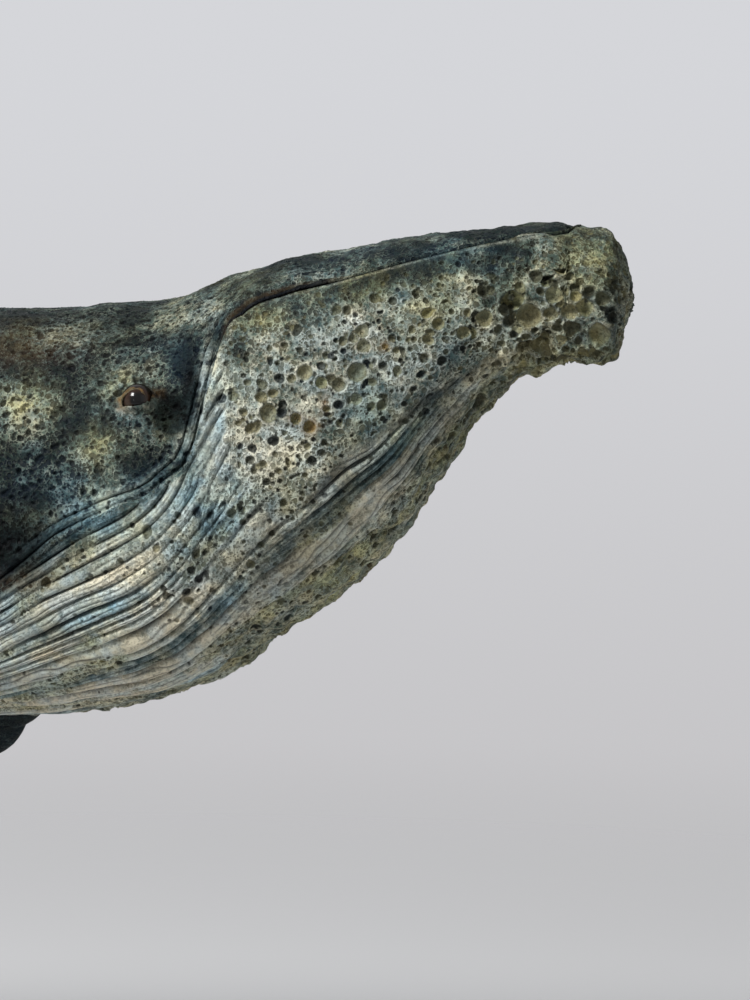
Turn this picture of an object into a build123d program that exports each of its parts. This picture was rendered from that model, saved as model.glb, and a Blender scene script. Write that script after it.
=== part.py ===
"""Whale figurine: two castings over a core, plugged fins, glass eyes, and a rod stand that it turns on."""

from build123d import *
import math
import os

os.makedirs("parts", exist_ok=True)

# Sizes of the figure, in millimetres
BODY_LENGTH = 273.0
BODY_DEPTH = 58.0
BODY_HALF_WIDTH = 27.0
SKIN_WALL = 5.0
MOUTH_GAP = 0.3
GLUE_GAP = 0.1
CUT_OVERRUN = 40.0

# Sizes of the fins and the eyes
FLIPPER_SPAN = 74.0
FLIPPER_HALF_CHORD = 12.0
FLIPPER_HALF_THICKNESS = 4.2
FLIPPER_SWEEP = 48.0
FLIPPER_DROOP = 22.0
FLIPPER_PLUG_DEPTH = 3.0
FLIPPER_PLUG_PROUD = 4.0
FLIPPER_TILT_DEG = 20.0
DORSAL_HEIGHT = 8.5
DORSAL_HALF_LENGTH = 13.0
DORSAL_HALF_THICKNESS = 3.6
DORSAL_SWEEP = 11.0
DORSAL_PLUG_DEPTH = 2.6
FLUKE_HALF_SPAN = 48.0
FLUKE_HALF_CHORD = 12.0
FLUKE_HALF_THICKNESS = 3.6
FLUKE_REACH = 12.0
FLUKE_SWEEP = 26.0
FLUKE_LIFT = 3.0
EYE_RADIUS = 2.3
EYE_SUNK = 1.3

# Sizes of the armature
SPINE_RADIUS = 2.5
SPINE_COVER = 7.0
PIN_RADIUS = 1.5
FLIPPER_PIN_LENGTH = 16.0
DORSAL_PIN_LENGTH = 10.0
FLUKE_PIN_LENGTH = 16.0
DOWEL_RADIUS = 1.2
DOWEL_LENGTH = 6.0
DOWEL_PITCH = 11.0
BUSH_RADIUS = 5.0
BUSH_HEAD = 4.0
BUSH_FLANGE_RADIUS = 7.5
BUSH_FLANGE_DEPTH = 3.0
BUSH_PROUD = 0.8

# Sizes of the stand
RUNNING_GAP = 0.05
ROD_RADIUS = 4.0
SPIGOT_RADIUS = 3.0
SPIGOT_GRIP = 22.0
STAND_RISE = 62.0
COLLAR_RADIUS = 7.5
COLLAR_DEPTH = 3.0
FERRULE_RADIUS = 6.0
FERRULE_DEPTH = 11.0
FERRULE_FLANGE_RADIUS = 10.0
FERRULE_FLANGE_DEPTH = 2.5
BASE_RADIUS = 46.0
BASE_TOP_RADIUS = 37.0
BASE_RIM = 6.0
BASE_HEIGHT = 16.0
BASE_EDGE = 0.8
FELT_RADIUS = 44.0
FELT_DEPTH = 1.5
SMALL_EDGE = 0.5

# Stations of the body: place from the chin as a share of the length, then back, belly, half width and
# height of the widest point, as shares of the depth and of the half width
TRUNK_SHARES = [
    (0.275, 0.991, 0.009, 0.963, 0.483),
    (0.326, 0.983, -0.017, 1.000, 0.466),
    (0.403, 0.986, -0.028, 1.011, 0.466),
    (0.476, 0.979, -0.021, 0.993, 0.466),
    (0.568, 0.953, 0.017, 0.919, 0.483),
    (0.659, 0.914, 0.095, 0.800, 0.500),
    (0.751, 0.853, 0.198, 0.641, 0.526),
    (0.842, 0.793, 0.310, 0.467, 0.560),
    (0.923, 0.752, 0.424, 0.319, 0.595),
    (1.000, 0.733, 0.500, 0.222, 0.620),
]
ROSTRUM_SHARES = [
    (0.0315, 1.184, 1.138, 0.059, 1.164),
    (0.0348, 1.190, 1.103, 0.126, 1.160),
    (0.0476, 1.190, 1.052, 0.230, 1.141),
    (0.0733, 1.179, 0.983, 0.356, 1.103),
    (0.1099, 1.160, 0.897, 0.481, 1.043),
    (0.1465, 1.133, 0.776, 0.593, 0.991),
    (0.1832, 1.097, 0.603, 0.704, 0.931),
    (0.2015, 1.062, 0.310, 0.796, 0.760),
    (0.2344, 1.010, 0.052, 0.907, 0.534),
]
JAW_SHARES = [
    (0.0000, 1.034, 0.957, 0.081, 0.997),
    (0.0037, 1.121, 0.926, 0.185, 1.009),
    (0.0110, 1.159, 0.888, 0.274, 1.017),
    (0.0256, 1.178, 0.852, 0.356, 1.026),
    (0.0440, 1.183, 0.833, 0.422, 1.026),
    (0.0659, 1.203, 0.793, 0.489, 1.009),
    (0.0916, 1.216, 0.659, 0.570, 0.948),
    (0.1172, 1.216, 0.472, 0.652, 0.862),
    (0.1465, 1.198, 0.326, 0.741, 0.767),
    (0.1832, 1.155, 0.193, 0.837, 0.655),
    (0.2271, 1.069, 0.069, 0.922, 0.552),
]
# Line of the mouth and of the throat's edge behind it, as shares of the length and of the depth
MOUTH_SHARES = [
    (0.0308, 1.166),
    (0.0733, 1.126),
    (0.1117, 1.081),
    (0.1451, 1.036),
    (0.1685, 1.007),
    (0.1868, 0.968),
    (0.1971, 0.902),
    (0.2007, 0.815),
    (0.2066, 0.679),
    (0.2227, 0.576),
    (0.2509, 0.507),
    (0.2755, 0.440),
    (0.3004, 0.341),
    (0.3297, 0.259),
    (0.3663, 0.190),
    (0.4396, 0.107),
    (0.5201, 0.034),
    (0.6007, -0.069),
]
# Fin stations: span, backward sweep, half chord, half thickness and droop or lift, each a share of its size
FLIPPER_SHARES = [
    (0.00, 0.00, 1.00, 1.00, 0.00),
    (0.16, 0.04, 1.00, 0.92, 0.12),
    (0.36, 0.17, 0.96, 0.78, 0.40),
    (0.56, 0.36, 0.86, 0.64, 0.68),
    (0.76, 0.60, 0.68, 0.50, 0.86),
    (0.92, 0.84, 0.44, 0.34, 0.97),
    (1.00, 1.00, 0.16, 0.18, 1.00),
]
DORSAL_SHARES = [
    (0.00, 0.00, 1.00, 1.00),
    (0.26, 0.15, 0.82, 0.66),
    (0.54, 0.44, 0.56, 0.44),
    (0.82, 0.80, 0.30, 0.30),
    (1.00, 1.00, 0.12, 0.16),
]
FLUKE_SHARES = [
    (0.00, 0.00, 0.82, 1.00, 0.00),
    (0.20, 0.18, 1.00, 0.86, 0.03),
    (0.42, 0.34, 0.88, 0.68, 0.14),
    (0.64, 0.52, 0.64, 0.50, 0.40),
    (0.84, 0.74, 0.38, 0.34, 0.72),
    (1.00, 1.00, 0.10, 0.16, 1.00),
]
# Tail stub that carries the flukes: reach, then half width, back and belly as shares of the tail's end
STUB_SHARES = [
    (0.00, 1.00, 1.00, 1.00),
    (0.45, 0.92, 0.66, 0.60),
    (1.00, 0.60, 0.34, 0.30),
]

# Places on the body, as shares of its length and depth
FLIPPER_PLACE_SHARES = (0.379, 0.310)
DORSAL_PLACE_SHARE = 0.700
EYE_PLACE_SHARES = (0.2393, 0.765)
DOWEL_PLACE_SHARE = 0.110
SPINE_LEVEL_SHARE = 0.500
ROD_PLACE_SHARE = 0.436
CORE_FIRST_SHARE = 0.275
CORE_LAST_SHARE = 0.842
COVE_SHARE = 0.30

SECTION_POINTS = 16
SECTION_POWER = 2.2

# Heights that follow from the stand
BASE_TOP = FELT_DEPTH + BASE_HEIGHT
BELLY_LINE = BASE_TOP + STAND_RISE


def along(share):
    """Distance of a station ahead of the rod's axis."""
    return (ROD_PLACE_SHARE - share) * BODY_LENGTH


def height(share):
    """Height of a share of the body's depth above the table."""
    return BELLY_LINE + share * BODY_DEPTH


def between(rows, place):
    """Row of a table at any place, straight between its neighbours."""
    for before, after in zip(rows, rows[1:]):
        if place <= after[0]:
            part = (place - before[0]) / (after[0] - before[0])
            return tuple(a + part * (b - a) for a, b in zip(before, after))
    return rows[-1]


def bent(value):
    """Cosine or sine bent into the fuller curve of the body's section."""
    return math.copysign(abs(value) ** (2.0 / SECTION_POWER), value)


def section(row, inset=0.0, shift=0.0):
    """Closed outline of the body at one station, drawn in from the skin by inset."""
    place, back, belly, half, widest = row
    middle = height(widest)
    rise = height(back) - middle - inset
    drop = middle - height(belly) - inset
    reach = half * BODY_HALF_WIDTH - inset
    points = []
    for step in range(SECTION_POINTS):
        turn = 2.0 * math.pi * step / SECTION_POINTS
        up = bent(math.sin(turn))
        lift = up * rise if up > 0 else up * drop
        points.append((along(place) + shift, reach * bent(math.cos(turn)), middle + lift))
    return Wire([Spline(*points, periodic=True)])


def body_form(rows):
    """Smooth solid through the stations of a table."""
    return Solid.make_loft([section(row) for row in rows])


def side_reach(rows, place, level):
    """Half width of the body at a place and a share of its depth."""
    _, back, belly, half, widest = between(rows, place)
    run = (back - widest) if level > widest else (widest - belly)
    bend = 1.0 - abs((level - widest) / run) ** SECTION_POWER
    return half * BODY_HALF_WIDTH * bend ** (1.0 / SECTION_POWER)


def upright(radius, low, high):
    """Upright cylinder on the rod's axis between two heights."""
    return Pos(0, 0, low) * Cylinder(radius, high - low, align=(Align.CENTER, Align.CENTER, Align.MIN))


def fin(plane, rows, span, sweep, half_chord, half_thickness, droop):
    """Fin of ellipses along the plane's normal, swept back along its X and drooped along its Y."""
    ribs = []
    for out, back, chord, thick, down in rows:
        seat = plane * Pos(-back * sweep, down * droop, out * span)
        ribs.append(seat * Ellipse(chord * half_chord, thick * half_thickness))
    return loft(ribs)


def plug(plane, half_chord, half_thickness, low, high, gap=0.0):
    """Straight elliptical root of a fin between two depths along the plane's normal."""
    face = plane * Pos(0, 0, low) * Ellipse(half_chord + gap, half_thickness + gap)
    return extrude(face, high - low, dir=plane.z_dir)


def pin(plane, radius, length):
    """Pin centred on a plane and along its normal."""
    return plane * Cylinder(radius, length)


def export(shape, node):
    """Write one named piece."""
    shape.label = node
    export_step(shape, f"parts/{node}.step")


# Forms that the two castings are cut from
upper_rows = ROSTRUM_SHARES + TRUNK_SHARES
lower_rows = JAW_SHARES + TRUNK_SHARES[:7]
upper_form = body_form(upper_rows)
lower_form = body_form(lower_rows)

# Everything below the line of the mouth, across the whole width
mouth_points = [(along(place), 0, height(level)) for place, level in MOUTH_SHARES]
front_x, _, front_z = mouth_points[0]
rear_x, _, rear_z = mouth_points[-1]
over_z = front_z + CUT_OVERRUN
under_z = BELLY_LINE - CUT_OVERRUN
ahead_x = along(0.0) + CUT_OVERRUN
mouth_line = Spline(*mouth_points)
mouth_rim = Polyline(
    (rear_x, 0, rear_z),
    (rear_x, 0, under_z),
    (ahead_x, 0, under_z),
    (ahead_x, 0, over_z),
    (front_x, 0, over_z),
    (front_x, 0, front_z),
)
mouth_face = make_face(Wire([mouth_line] + mouth_rim.edges()))
below_mouth = extrude(mouth_face, BODY_HALF_WIDTH + CUT_OVERRUN, dir=(0, 1, 0), both=True)

# Core and the cavity that it fills
core_rows = [row for row in TRUNK_SHARES if CORE_FIRST_SHARE <= row[0] <= CORE_LAST_SHARE]
core_wires = [section(row, SKIN_WALL) for row in core_rows]
cavity_inset = SKIN_WALL - GLUE_GAP
cavity_wires = [section(row, cavity_inset) for row in core_rows]
cavity_wires[0] = section(core_rows[0], cavity_inset, GLUE_GAP)
cavity_wires[-1] = section(core_rows[-1], cavity_inset, -GLUE_GAP)
core = Solid.make_loft(core_wires)
cavity = Solid.make_loft(cavity_wires)

body = upper_form - below_mouth - cavity
throat = (lower_form & Pos(MOUTH_GAP, 0, -MOUTH_GAP) * below_mouth) - cavity

# Flippers, plugged into the cheeks of the trunk
flipper_place, flipper_level = FLIPPER_PLACE_SHARES
flipper_reach = side_reach(upper_rows, flipper_place, flipper_level)
tilt = math.radians(FLIPPER_TILT_DEG)
flipper_seat = Plane(
    origin=(along(flipper_place), flipper_reach, height(flipper_level)),
    x_dir=(1, 0, 0),
    z_dir=(0, math.cos(tilt), -math.sin(tilt)),
)
flipper_start = flipper_seat.offset(FLIPPER_PLUG_PROUD)
flipper_blade = fin(
    flipper_start,
    FLIPPER_SHARES,
    FLIPPER_SPAN,
    FLIPPER_SWEEP,
    FLIPPER_HALF_CHORD,
    FLIPPER_HALF_THICKNESS,
    FLIPPER_DROOP,
)
flipper_root = plug(
    flipper_seat, FLIPPER_HALF_CHORD, FLIPPER_HALF_THICKNESS, -FLIPPER_PLUG_DEPTH, FLIPPER_PLUG_PROUD
)
flipper_pocket = plug(
    flipper_seat,
    FLIPPER_HALF_CHORD,
    FLIPPER_HALF_THICKNESS,
    -FLIPPER_PLUG_DEPTH,
    FLIPPER_PLUG_PROUD + CUT_OVERRUN,
    GLUE_GAP,
)
flipper_floor = flipper_seat.offset(-FLIPPER_PLUG_DEPTH)
flipper_pin = pin(flipper_floor, PIN_RADIUS, FLIPPER_PIN_LENGTH)
flipper_pin_hole = pin(flipper_floor, PIN_RADIUS + RUNNING_GAP, FLIPPER_PIN_LENGTH)
flipper_left = flipper_blade + flipper_root - flipper_pin_hole
flipper_right = mirror(flipper_left, about=Plane.XZ)
for cutter in (flipper_pocket, flipper_pin_hole):
    for side_cutter in (cutter, mirror(cutter, about=Plane.XZ)):
        body = body - side_cutter
        throat = throat - side_cutter
for side_cutter in (flipper_pin_hole, mirror(flipper_pin_hole, about=Plane.XZ)):
    core = core - side_cutter
flipper_pins = Compound(children=[flipper_pin, mirror(flipper_pin, about=Plane.XZ)])

# Dorsal fin, plugged into the back
dorsal_row = between(TRUNK_SHARES, DORSAL_PLACE_SHARE)
dorsal_seat = Plane(
    origin=(along(DORSAL_PLACE_SHARE), 0, height(dorsal_row[1])), x_dir=(1, 0, 0), z_dir=(0, 0, 1)
)
dorsal_rows = [row + (0.0,) for row in DORSAL_SHARES]
dorsal_blade = fin(
    dorsal_seat, dorsal_rows, DORSAL_HEIGHT, DORSAL_SWEEP, DORSAL_HALF_LENGTH, DORSAL_HALF_THICKNESS, 0.0
)
dorsal_root = plug(dorsal_seat, DORSAL_HALF_LENGTH, DORSAL_HALF_THICKNESS, -DORSAL_PLUG_DEPTH, 0.0)
dorsal_pocket = plug(
    dorsal_seat, DORSAL_HALF_LENGTH, DORSAL_HALF_THICKNESS, -DORSAL_PLUG_DEPTH, CUT_OVERRUN, GLUE_GAP
)
dorsal_floor = dorsal_seat.offset(-DORSAL_PLUG_DEPTH)
dorsal_pin = pin(dorsal_floor, PIN_RADIUS, DORSAL_PIN_LENGTH)
dorsal_pin_hole = pin(dorsal_floor, PIN_RADIUS + RUNNING_GAP, DORSAL_PIN_LENGTH)
dorsal_fin = dorsal_blade + dorsal_root - dorsal_pin_hole
body = body - dorsal_pocket - dorsal_pin_hole
core = core - dorsal_pin_hole

# Flukes, butted and pinned to the end of the tail
tail_row = TRUNK_SHARES[-1]
_, tail_back, tail_belly, tail_half, tail_widest = tail_row
tail_x = along(tail_row[0])
tail_z = height(tail_widest)
stub_wires = []
for reach, half, back, belly in STUB_SHARES:
    stub_row = (
        tail_row[0],
        tail_widest + back * (tail_back - tail_widest),
        tail_widest - belly * (tail_widest - tail_belly),
        half * tail_half,
        tail_widest,
    )
    stub_wires.append(section(stub_row, 0.0, -reach * FLUKE_REACH))
fluke_stub = Solid.make_loft(stub_wires)
fluke_seat = Plane(origin=(tail_x - FLUKE_REACH, 0, tail_z), x_dir=(1, 0, 0), z_dir=(0, 1, 0))
fluke_lobe = fin(
    fluke_seat,
    FLUKE_SHARES,
    FLUKE_HALF_SPAN,
    FLUKE_SWEEP,
    FLUKE_HALF_CHORD,
    FLUKE_HALF_THICKNESS,
    -FLUKE_LIFT,
)
fluke_blade = fluke_lobe + mirror(fluke_lobe, about=Plane.XZ)
tail_plane = Plane(origin=(tail_x, 0, tail_z), x_dir=(0, 1, 0), z_dir=(1, 0, 0))
fluke_pin = pin(tail_plane, PIN_RADIUS, FLUKE_PIN_LENGTH)
fluke_pin_hole = pin(tail_plane, PIN_RADIUS + RUNNING_GAP, FLUKE_PIN_LENGTH)
tail_flukes = fluke_stub + fluke_blade - fluke_pin_hole
body = body - fluke_pin_hole

# Eyes in round sockets behind the corners of the mouth
eye_place, eye_level = EYE_PLACE_SHARES
eye_reach = side_reach(upper_rows, eye_place, eye_level) - EYE_SUNK
eye_spot = Plane(origin=(along(eye_place), eye_reach, height(eye_level)), z_dir=(0, 1, 0))
eye_left = eye_spot * Sphere(EYE_RADIUS)
eye_socket = eye_spot * Sphere(EYE_RADIUS + GLUE_GAP)
eye_right = mirror(eye_left, about=Plane.XZ)
body = body - eye_socket - mirror(eye_socket, about=Plane.XZ)

# Dowels between the rostrum and the jaw
dowel_level = between(MOUTH_SHARES, DOWEL_PLACE_SHARE)[1]
dowels = []
for side in (-1, 1):
    dowel_plane = Plane(origin=(along(DOWEL_PLACE_SHARE), side * DOWEL_PITCH / 2, height(dowel_level)))
    dowels.append(pin(dowel_plane, DOWEL_RADIUS, DOWEL_LENGTH))
    dowel_hole = pin(dowel_plane, DOWEL_RADIUS + RUNNING_GAP, DOWEL_LENGTH)
    body = body - dowel_hole
    throat = throat - dowel_hole
jaw_dowels = Compound(children=dowels)

# Spine rod through the core
spine_z = height(SPINE_LEVEL_SHARE)
core_front = along(CORE_FIRST_SHARE)
core_rear = along(CORE_LAST_SHARE)
spine_length = core_front - core_rear - 2 * SPINE_COVER
spine_plane = Plane(origin=((core_front + core_rear) / 2, 0, spine_z), x_dir=(0, 1, 0), z_dir=(1, 0, 0))
spine_rod = pin(spine_plane, SPINE_RADIUS, spine_length)
spine_hole = pin(spine_plane, SPINE_RADIUS + RUNNING_GAP, spine_length)
core = core - spine_hole

# Bush in the belly, hung on the spine rod
belly_row = between(TRUNK_SHARES, ROD_PLACE_SHARE)
seat_z = height(belly_row[2]) - BUSH_PROUD
flange_top = seat_z + BUSH_FLANGE_DEPTH
bush_top = spine_z + SPINE_RADIUS + BUSH_HEAD
rod_top = seat_z + SPIGOT_GRIP
bush = upright(BUSH_RADIUS, seat_z, bush_top) + upright(BUSH_FLANGE_RADIUS, seat_z, flange_top)
bush = bush - upright(SPIGOT_RADIUS + RUNNING_GAP, seat_z, rod_top + RUNNING_GAP) - spine_hole
bush_hole = upright(BUSH_RADIUS + GLUE_GAP, under_z, bush_top + GLUE_GAP)
flange_hole = upright(BUSH_FLANGE_RADIUS + GLUE_GAP, under_z, flange_top)
throat = throat - bush_hole - flange_hole
body = body - bush_hole - flange_hole
core = core - bush_hole

# Stand: rod, collar, ferrule, turned base and felt
socket_floor = BASE_TOP - FERRULE_DEPTH
shoulder_z = seat_z - COLLAR_DEPTH
flange_z = BASE_TOP + FERRULE_FLANGE_DEPTH
rod = upright(ROD_RADIUS, socket_floor, shoulder_z) + upright(SPIGOT_RADIUS, shoulder_z, rod_top)
rod = chamfer(rod.edges().group_by(Axis.Z)[-1], SMALL_EDGE)
collar = upright(COLLAR_RADIUS, shoulder_z, seat_z)
collar = collar - upright(SPIGOT_RADIUS + RUNNING_GAP, shoulder_z, seat_z)
collar_rims = collar.edges().filter_by(GeomType.CIRCLE).sort_by(SortBy.RADIUS)[-2:]
collar = chamfer(collar_rims, SMALL_EDGE)
ferrule = upright(FERRULE_RADIUS, socket_floor, BASE_TOP)
ferrule = ferrule + upright(FERRULE_FLANGE_RADIUS, BASE_TOP, flange_z)
ferrule = ferrule - upright(ROD_RADIUS + RUNNING_GAP, socket_floor, flange_z)
ferrule = chamfer(ferrule.edges().filter_by(GeomType.CIRCLE).group_by(Axis.Z)[-1], SMALL_EDGE)

rim_z = FELT_DEPTH + BASE_RIM
cove_x = BASE_TOP_RADIUS + COVE_SHARE * (BASE_RADIUS - BASE_TOP_RADIUS)
cove_z = rim_z + COVE_SHARE * (BASE_TOP - rim_z)
base_lines = [
    Line((0, 0, FELT_DEPTH), (BASE_RADIUS, 0, FELT_DEPTH)),
    Line((BASE_RADIUS, 0, FELT_DEPTH), (BASE_RADIUS, 0, rim_z)),
    ThreePointArc((BASE_RADIUS, 0, rim_z), (cove_x, 0, cove_z), (BASE_TOP_RADIUS, 0, BASE_TOP)),
    Line((BASE_TOP_RADIUS, 0, BASE_TOP), (0, 0, BASE_TOP)),
    Line((0, 0, BASE_TOP), (0, 0, FELT_DEPTH)),
]
base = revolve(make_face(Wire([line.edge() for line in base_lines])), Axis.Z)
base = fillet(base.edges().filter_by(GeomType.CIRCLE), BASE_EDGE)
base = base - upright(FERRULE_RADIUS + RUNNING_GAP, socket_floor, BASE_TOP)
felt = upright(FELT_RADIUS, 0.0, FELT_DEPTH)

export(body, "body_casting")
export(throat, "throat_casting")
export(flipper_left, "flipper_left")
export(flipper_right, "flipper_right")
export(dorsal_fin, "dorsal_fin")
export(tail_flukes, "tail_flukes")
export(eye_left, "eye_left")
export(eye_right, "eye_right")
export(core, "paper_core")
export(spine_rod, "spine_rod")
export(flipper_pins, "flipper_pins")
export(dorsal_pin, "dorsal_pin")
export(fluke_pin, "fluke_pin")
export(jaw_dowels, "jaw_dowels")
export(bush, "rod_bush")
export(rod, "support_rod")
export(collar, "rod_collar")
export(ferrule, "base_ferrule")
export(base, "base_disc")
export(felt, "base_felt")
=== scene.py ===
"""Dresses the whale figurine: pitted and pleated skins over the castings, fins, eyes, stand and stage."""

import math
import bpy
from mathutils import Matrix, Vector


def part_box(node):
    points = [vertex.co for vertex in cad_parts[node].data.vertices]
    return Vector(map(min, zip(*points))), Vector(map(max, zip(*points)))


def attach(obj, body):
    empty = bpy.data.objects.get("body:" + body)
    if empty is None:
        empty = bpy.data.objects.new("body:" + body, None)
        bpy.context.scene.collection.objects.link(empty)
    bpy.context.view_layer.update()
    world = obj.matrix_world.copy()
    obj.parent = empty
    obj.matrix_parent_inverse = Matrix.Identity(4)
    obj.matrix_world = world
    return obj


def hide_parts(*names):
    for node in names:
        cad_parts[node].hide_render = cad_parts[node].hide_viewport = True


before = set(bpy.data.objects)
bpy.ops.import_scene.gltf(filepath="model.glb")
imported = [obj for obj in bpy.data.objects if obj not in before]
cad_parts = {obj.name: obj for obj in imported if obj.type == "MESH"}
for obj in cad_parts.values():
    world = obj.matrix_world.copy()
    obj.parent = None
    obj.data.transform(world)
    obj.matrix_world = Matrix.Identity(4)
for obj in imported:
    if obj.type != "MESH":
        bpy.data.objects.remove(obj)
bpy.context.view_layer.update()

from types import SimpleNamespace

import bpy
import numpy as np
from bpy.props import FloatProperty, FloatVectorProperty, IntProperty, PointerProperty
from mathutils import Vector

bl_info = {
    "name": "Whale figurine",
    "version": (1, 0, 0),
    "blender": (4, 5, 0),
    "location": "3D View > Sidebar > Whale",
    "description": "Builds the skins, fins, eyes, stand finishes and stage of a cast whale figurine",
    "category": "Object",
}

MM = 0.001
TINY = 1e-6

# Stations of the body: place from the chin as a share of the length, then back, belly, half width and
# height of the widest point, as shares of the depth and of the half width
TRUNK_SHARES = [
    (0.275, 0.991, 0.009, 0.963, 0.483),
    (0.326, 0.983, -0.017, 1.000, 0.466),
    (0.403, 0.986, -0.028, 1.011, 0.466),
    (0.476, 0.979, -0.021, 0.993, 0.466),
    (0.568, 0.953, 0.017, 0.919, 0.483),
    (0.659, 0.914, 0.095, 0.800, 0.500),
    (0.751, 0.853, 0.198, 0.641, 0.526),
    (0.842, 0.793, 0.310, 0.467, 0.560),
    (0.923, 0.752, 0.424, 0.319, 0.595),
    (1.000, 0.733, 0.500, 0.222, 0.620),
]
ROSTRUM_SHARES = [
    (0.0476, 1.190, 1.052, 0.230, 1.141),
    (0.0733, 1.179, 0.983, 0.356, 1.103),
    (0.1099, 1.160, 0.897, 0.481, 1.043),
    (0.1465, 1.133, 0.776, 0.593, 0.991),
    (0.1832, 1.097, 0.603, 0.704, 0.931),
    (0.2015, 1.062, 0.310, 0.796, 0.760),
    (0.2344, 1.010, 0.052, 0.907, 0.534),
]
JAW_SHARES = [
    (0.0256, 1.178, 0.852, 0.356, 1.026),
    (0.0440, 1.183, 0.833, 0.422, 1.026),
    (0.0659, 1.203, 0.793, 0.489, 1.009),
    (0.0916, 1.216, 0.659, 0.570, 0.948),
    (0.1172, 1.216, 0.472, 0.652, 0.862),
    (0.1465, 1.198, 0.326, 0.741, 0.767),
    (0.1832, 1.155, 0.193, 0.837, 0.655),
    (0.2271, 1.069, 0.069, 0.922, 0.552),
]
MOUTH_SHARES = [
    (0.0308, 1.166),
    (0.0733, 1.126),
    (0.1117, 1.081),
    (0.1451, 1.036),
    (0.1685, 1.007),
    (0.1868, 0.968),
    (0.1971, 0.902),
    (0.2007, 0.815),
    (0.2066, 0.679),
    (0.2227, 0.576),
    (0.2509, 0.507),
    (0.2755, 0.440),
    (0.3004, 0.341),
    (0.3297, 0.259),
    (0.3663, 0.190),
    (0.4396, 0.107),
    (0.5201, 0.034),
    (0.6007, -0.069),
]
# Rounded noses: place of the last full station, place of the tip, level of the tip
JAW_NOSE_SHARES = (0.0256, 0.0, 0.997)
ROSTRUM_NOSE_SHARES = (0.0476, 0.0312, 1.158)
# Lips round the rostrum's tip: where they begin, how fast and how far they stand clear of it, and where they
# pass over to the line of the mouth; then the step down to the floor of the mouth
LIP_START_SHARE = 0.0290
LIP_RUN_SHARE = 0.002
LIP_CLEAR_SHARE = 0.014
LIP_BLEND_SHARES = (0.042, 0.064)
MOUTH_FLOOR_SHARE = 0.014
# Places between which the edge of the throat reaches the keel, and the length that evens out the pleats
THROAT_END_SEARCH_SHARES = (0.45, 0.60)
STRAND_EVEN_SHARE = 0.030
# Columns of the skins: on the right side, on the left side and in the run that closes the section
BACK_COLUMNS = (285, 135, 6)
THROAT_COLUMNS = (330, 135, 6)
# Rows of the skins: how many round the nose, then each piece's name, the place where it ends and its rows
BACK_NOSE_ROWS = 17
BACK_RUNS = [
    ("rostrum_skin", 0.195, 210),
    ("cheek_skin", 0.28, 148),
    ("shoulder_skin", 0.36, 140),
    ("trunk_skin", 0.62, 171),
    ("tail_skin", 1.0, 131),
]
THROAT_NOSE_ROWS = 37
THROAT_RUNS = [
    ("chin_skin", 0.075, 100),
    ("lip_skin", 0.125, 101),
    ("jaw_skin", 0.19, 125),
    ("corner_skin", 0.25, 115),
    ("throat_skin", 0.37, 206),
]
BELLY_NAME = "belly_skin"
BELLY_ROWS = 110
# Distances behind the chin: start of the cheek, corner of the mouth, end of the head, and the blowholes
CHEEK_MM = (38.0, 54.0)
CORNER_MM = (53.0, 57.0)
HEAD_END_MM = (80.0, 150.0)
BLOWHOLE_MM = 58.0
KNOB_STEP_MM = 5.2
# Seats of the fins along the body, and the level of the flippers
FLIPPER_SEAT_SHARES = (0.379, 0.310)
DORSAL_PLACE_SHARE = 0.700
# Fins: how far the roots run on inside the skin, how far the stub overlaps the tail, and the rounded tip
FLIPPER_ROOT_MM = 2.5
DORSAL_ROOT_MM = 2.2
STUB_OVERLAP_MM = 0.4
TIP_SHARE = 0.03
# Fins: rows and columns of their grids
ROOT_ROWS = 10
SPAN_ROWS = 190
FLIPPER_COLUMNS = 150
DORSAL_COLUMNS = 110
FLUKE_ROWS = 301
FLUKE_COLUMNS = 150
STUB_ROWS = 60
STUB_COLUMNS = 120
# Fin stations: span, backward sweep, half chord, half thickness and droop or lift, each a share of its size
FLIPPER_SHARES = [
    (0.00, 0.00, 1.00, 1.00, 0.00),
    (0.16, 0.04, 1.00, 0.92, 0.12),
    (0.36, 0.17, 0.96, 0.78, 0.40),
    (0.56, 0.36, 0.86, 0.64, 0.68),
    (0.76, 0.60, 0.68, 0.50, 0.86),
    (0.92, 0.84, 0.44, 0.34, 0.97),
    (1.00, 1.00, 0.16, 0.18, 1.00),
]
DORSAL_SHARES = [
    (0.00, 0.00, 1.00, 1.00, 0.00),
    (0.26, 0.15, 0.82, 0.66, 0.00),
    (0.54, 0.44, 0.56, 0.44, 0.00),
    (0.82, 0.80, 0.30, 0.30, 0.00),
    (1.00, 1.00, 0.12, 0.16, 0.00),
]
FLUKE_SHARES = [
    (0.00, 0.00, 0.82, 1.00, 0.00),
    (0.20, 0.18, 1.00, 0.86, 0.03),
    (0.42, 0.34, 0.88, 0.68, 0.14),
    (0.64, 0.52, 0.64, 0.50, 0.40),
    (0.84, 0.74, 0.38, 0.34, 0.72),
    (1.00, 1.00, 0.10, 0.16, 1.00),
]
STUB_SHARES = [
    (0.00, 1.00, 1.00, 1.00),
    (0.45, 0.92, 0.66, 0.60),
    (1.00, 0.60, 0.34, 0.30),
]
# Picture of the right side that the pits and the paint patches were chosen in: its turn and rise as angles,
# its distance and height, the point at its middle, from the chin and above the belly line, and the place of
# that point in it, across and down as shares of its height
STENCIL_TURN_DEG = 12.0
STENCIL_RISE_DEG = 3.0
STENCIL_DISTANCE_MM = 450.0
STENCIL_HEIGHT_MM = 140.0
STENCIL_MIDDLE_MM = (37.0, 30.1)
STENCIL_MIDDLE_SHARES = (0.375, 0.5)
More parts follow.
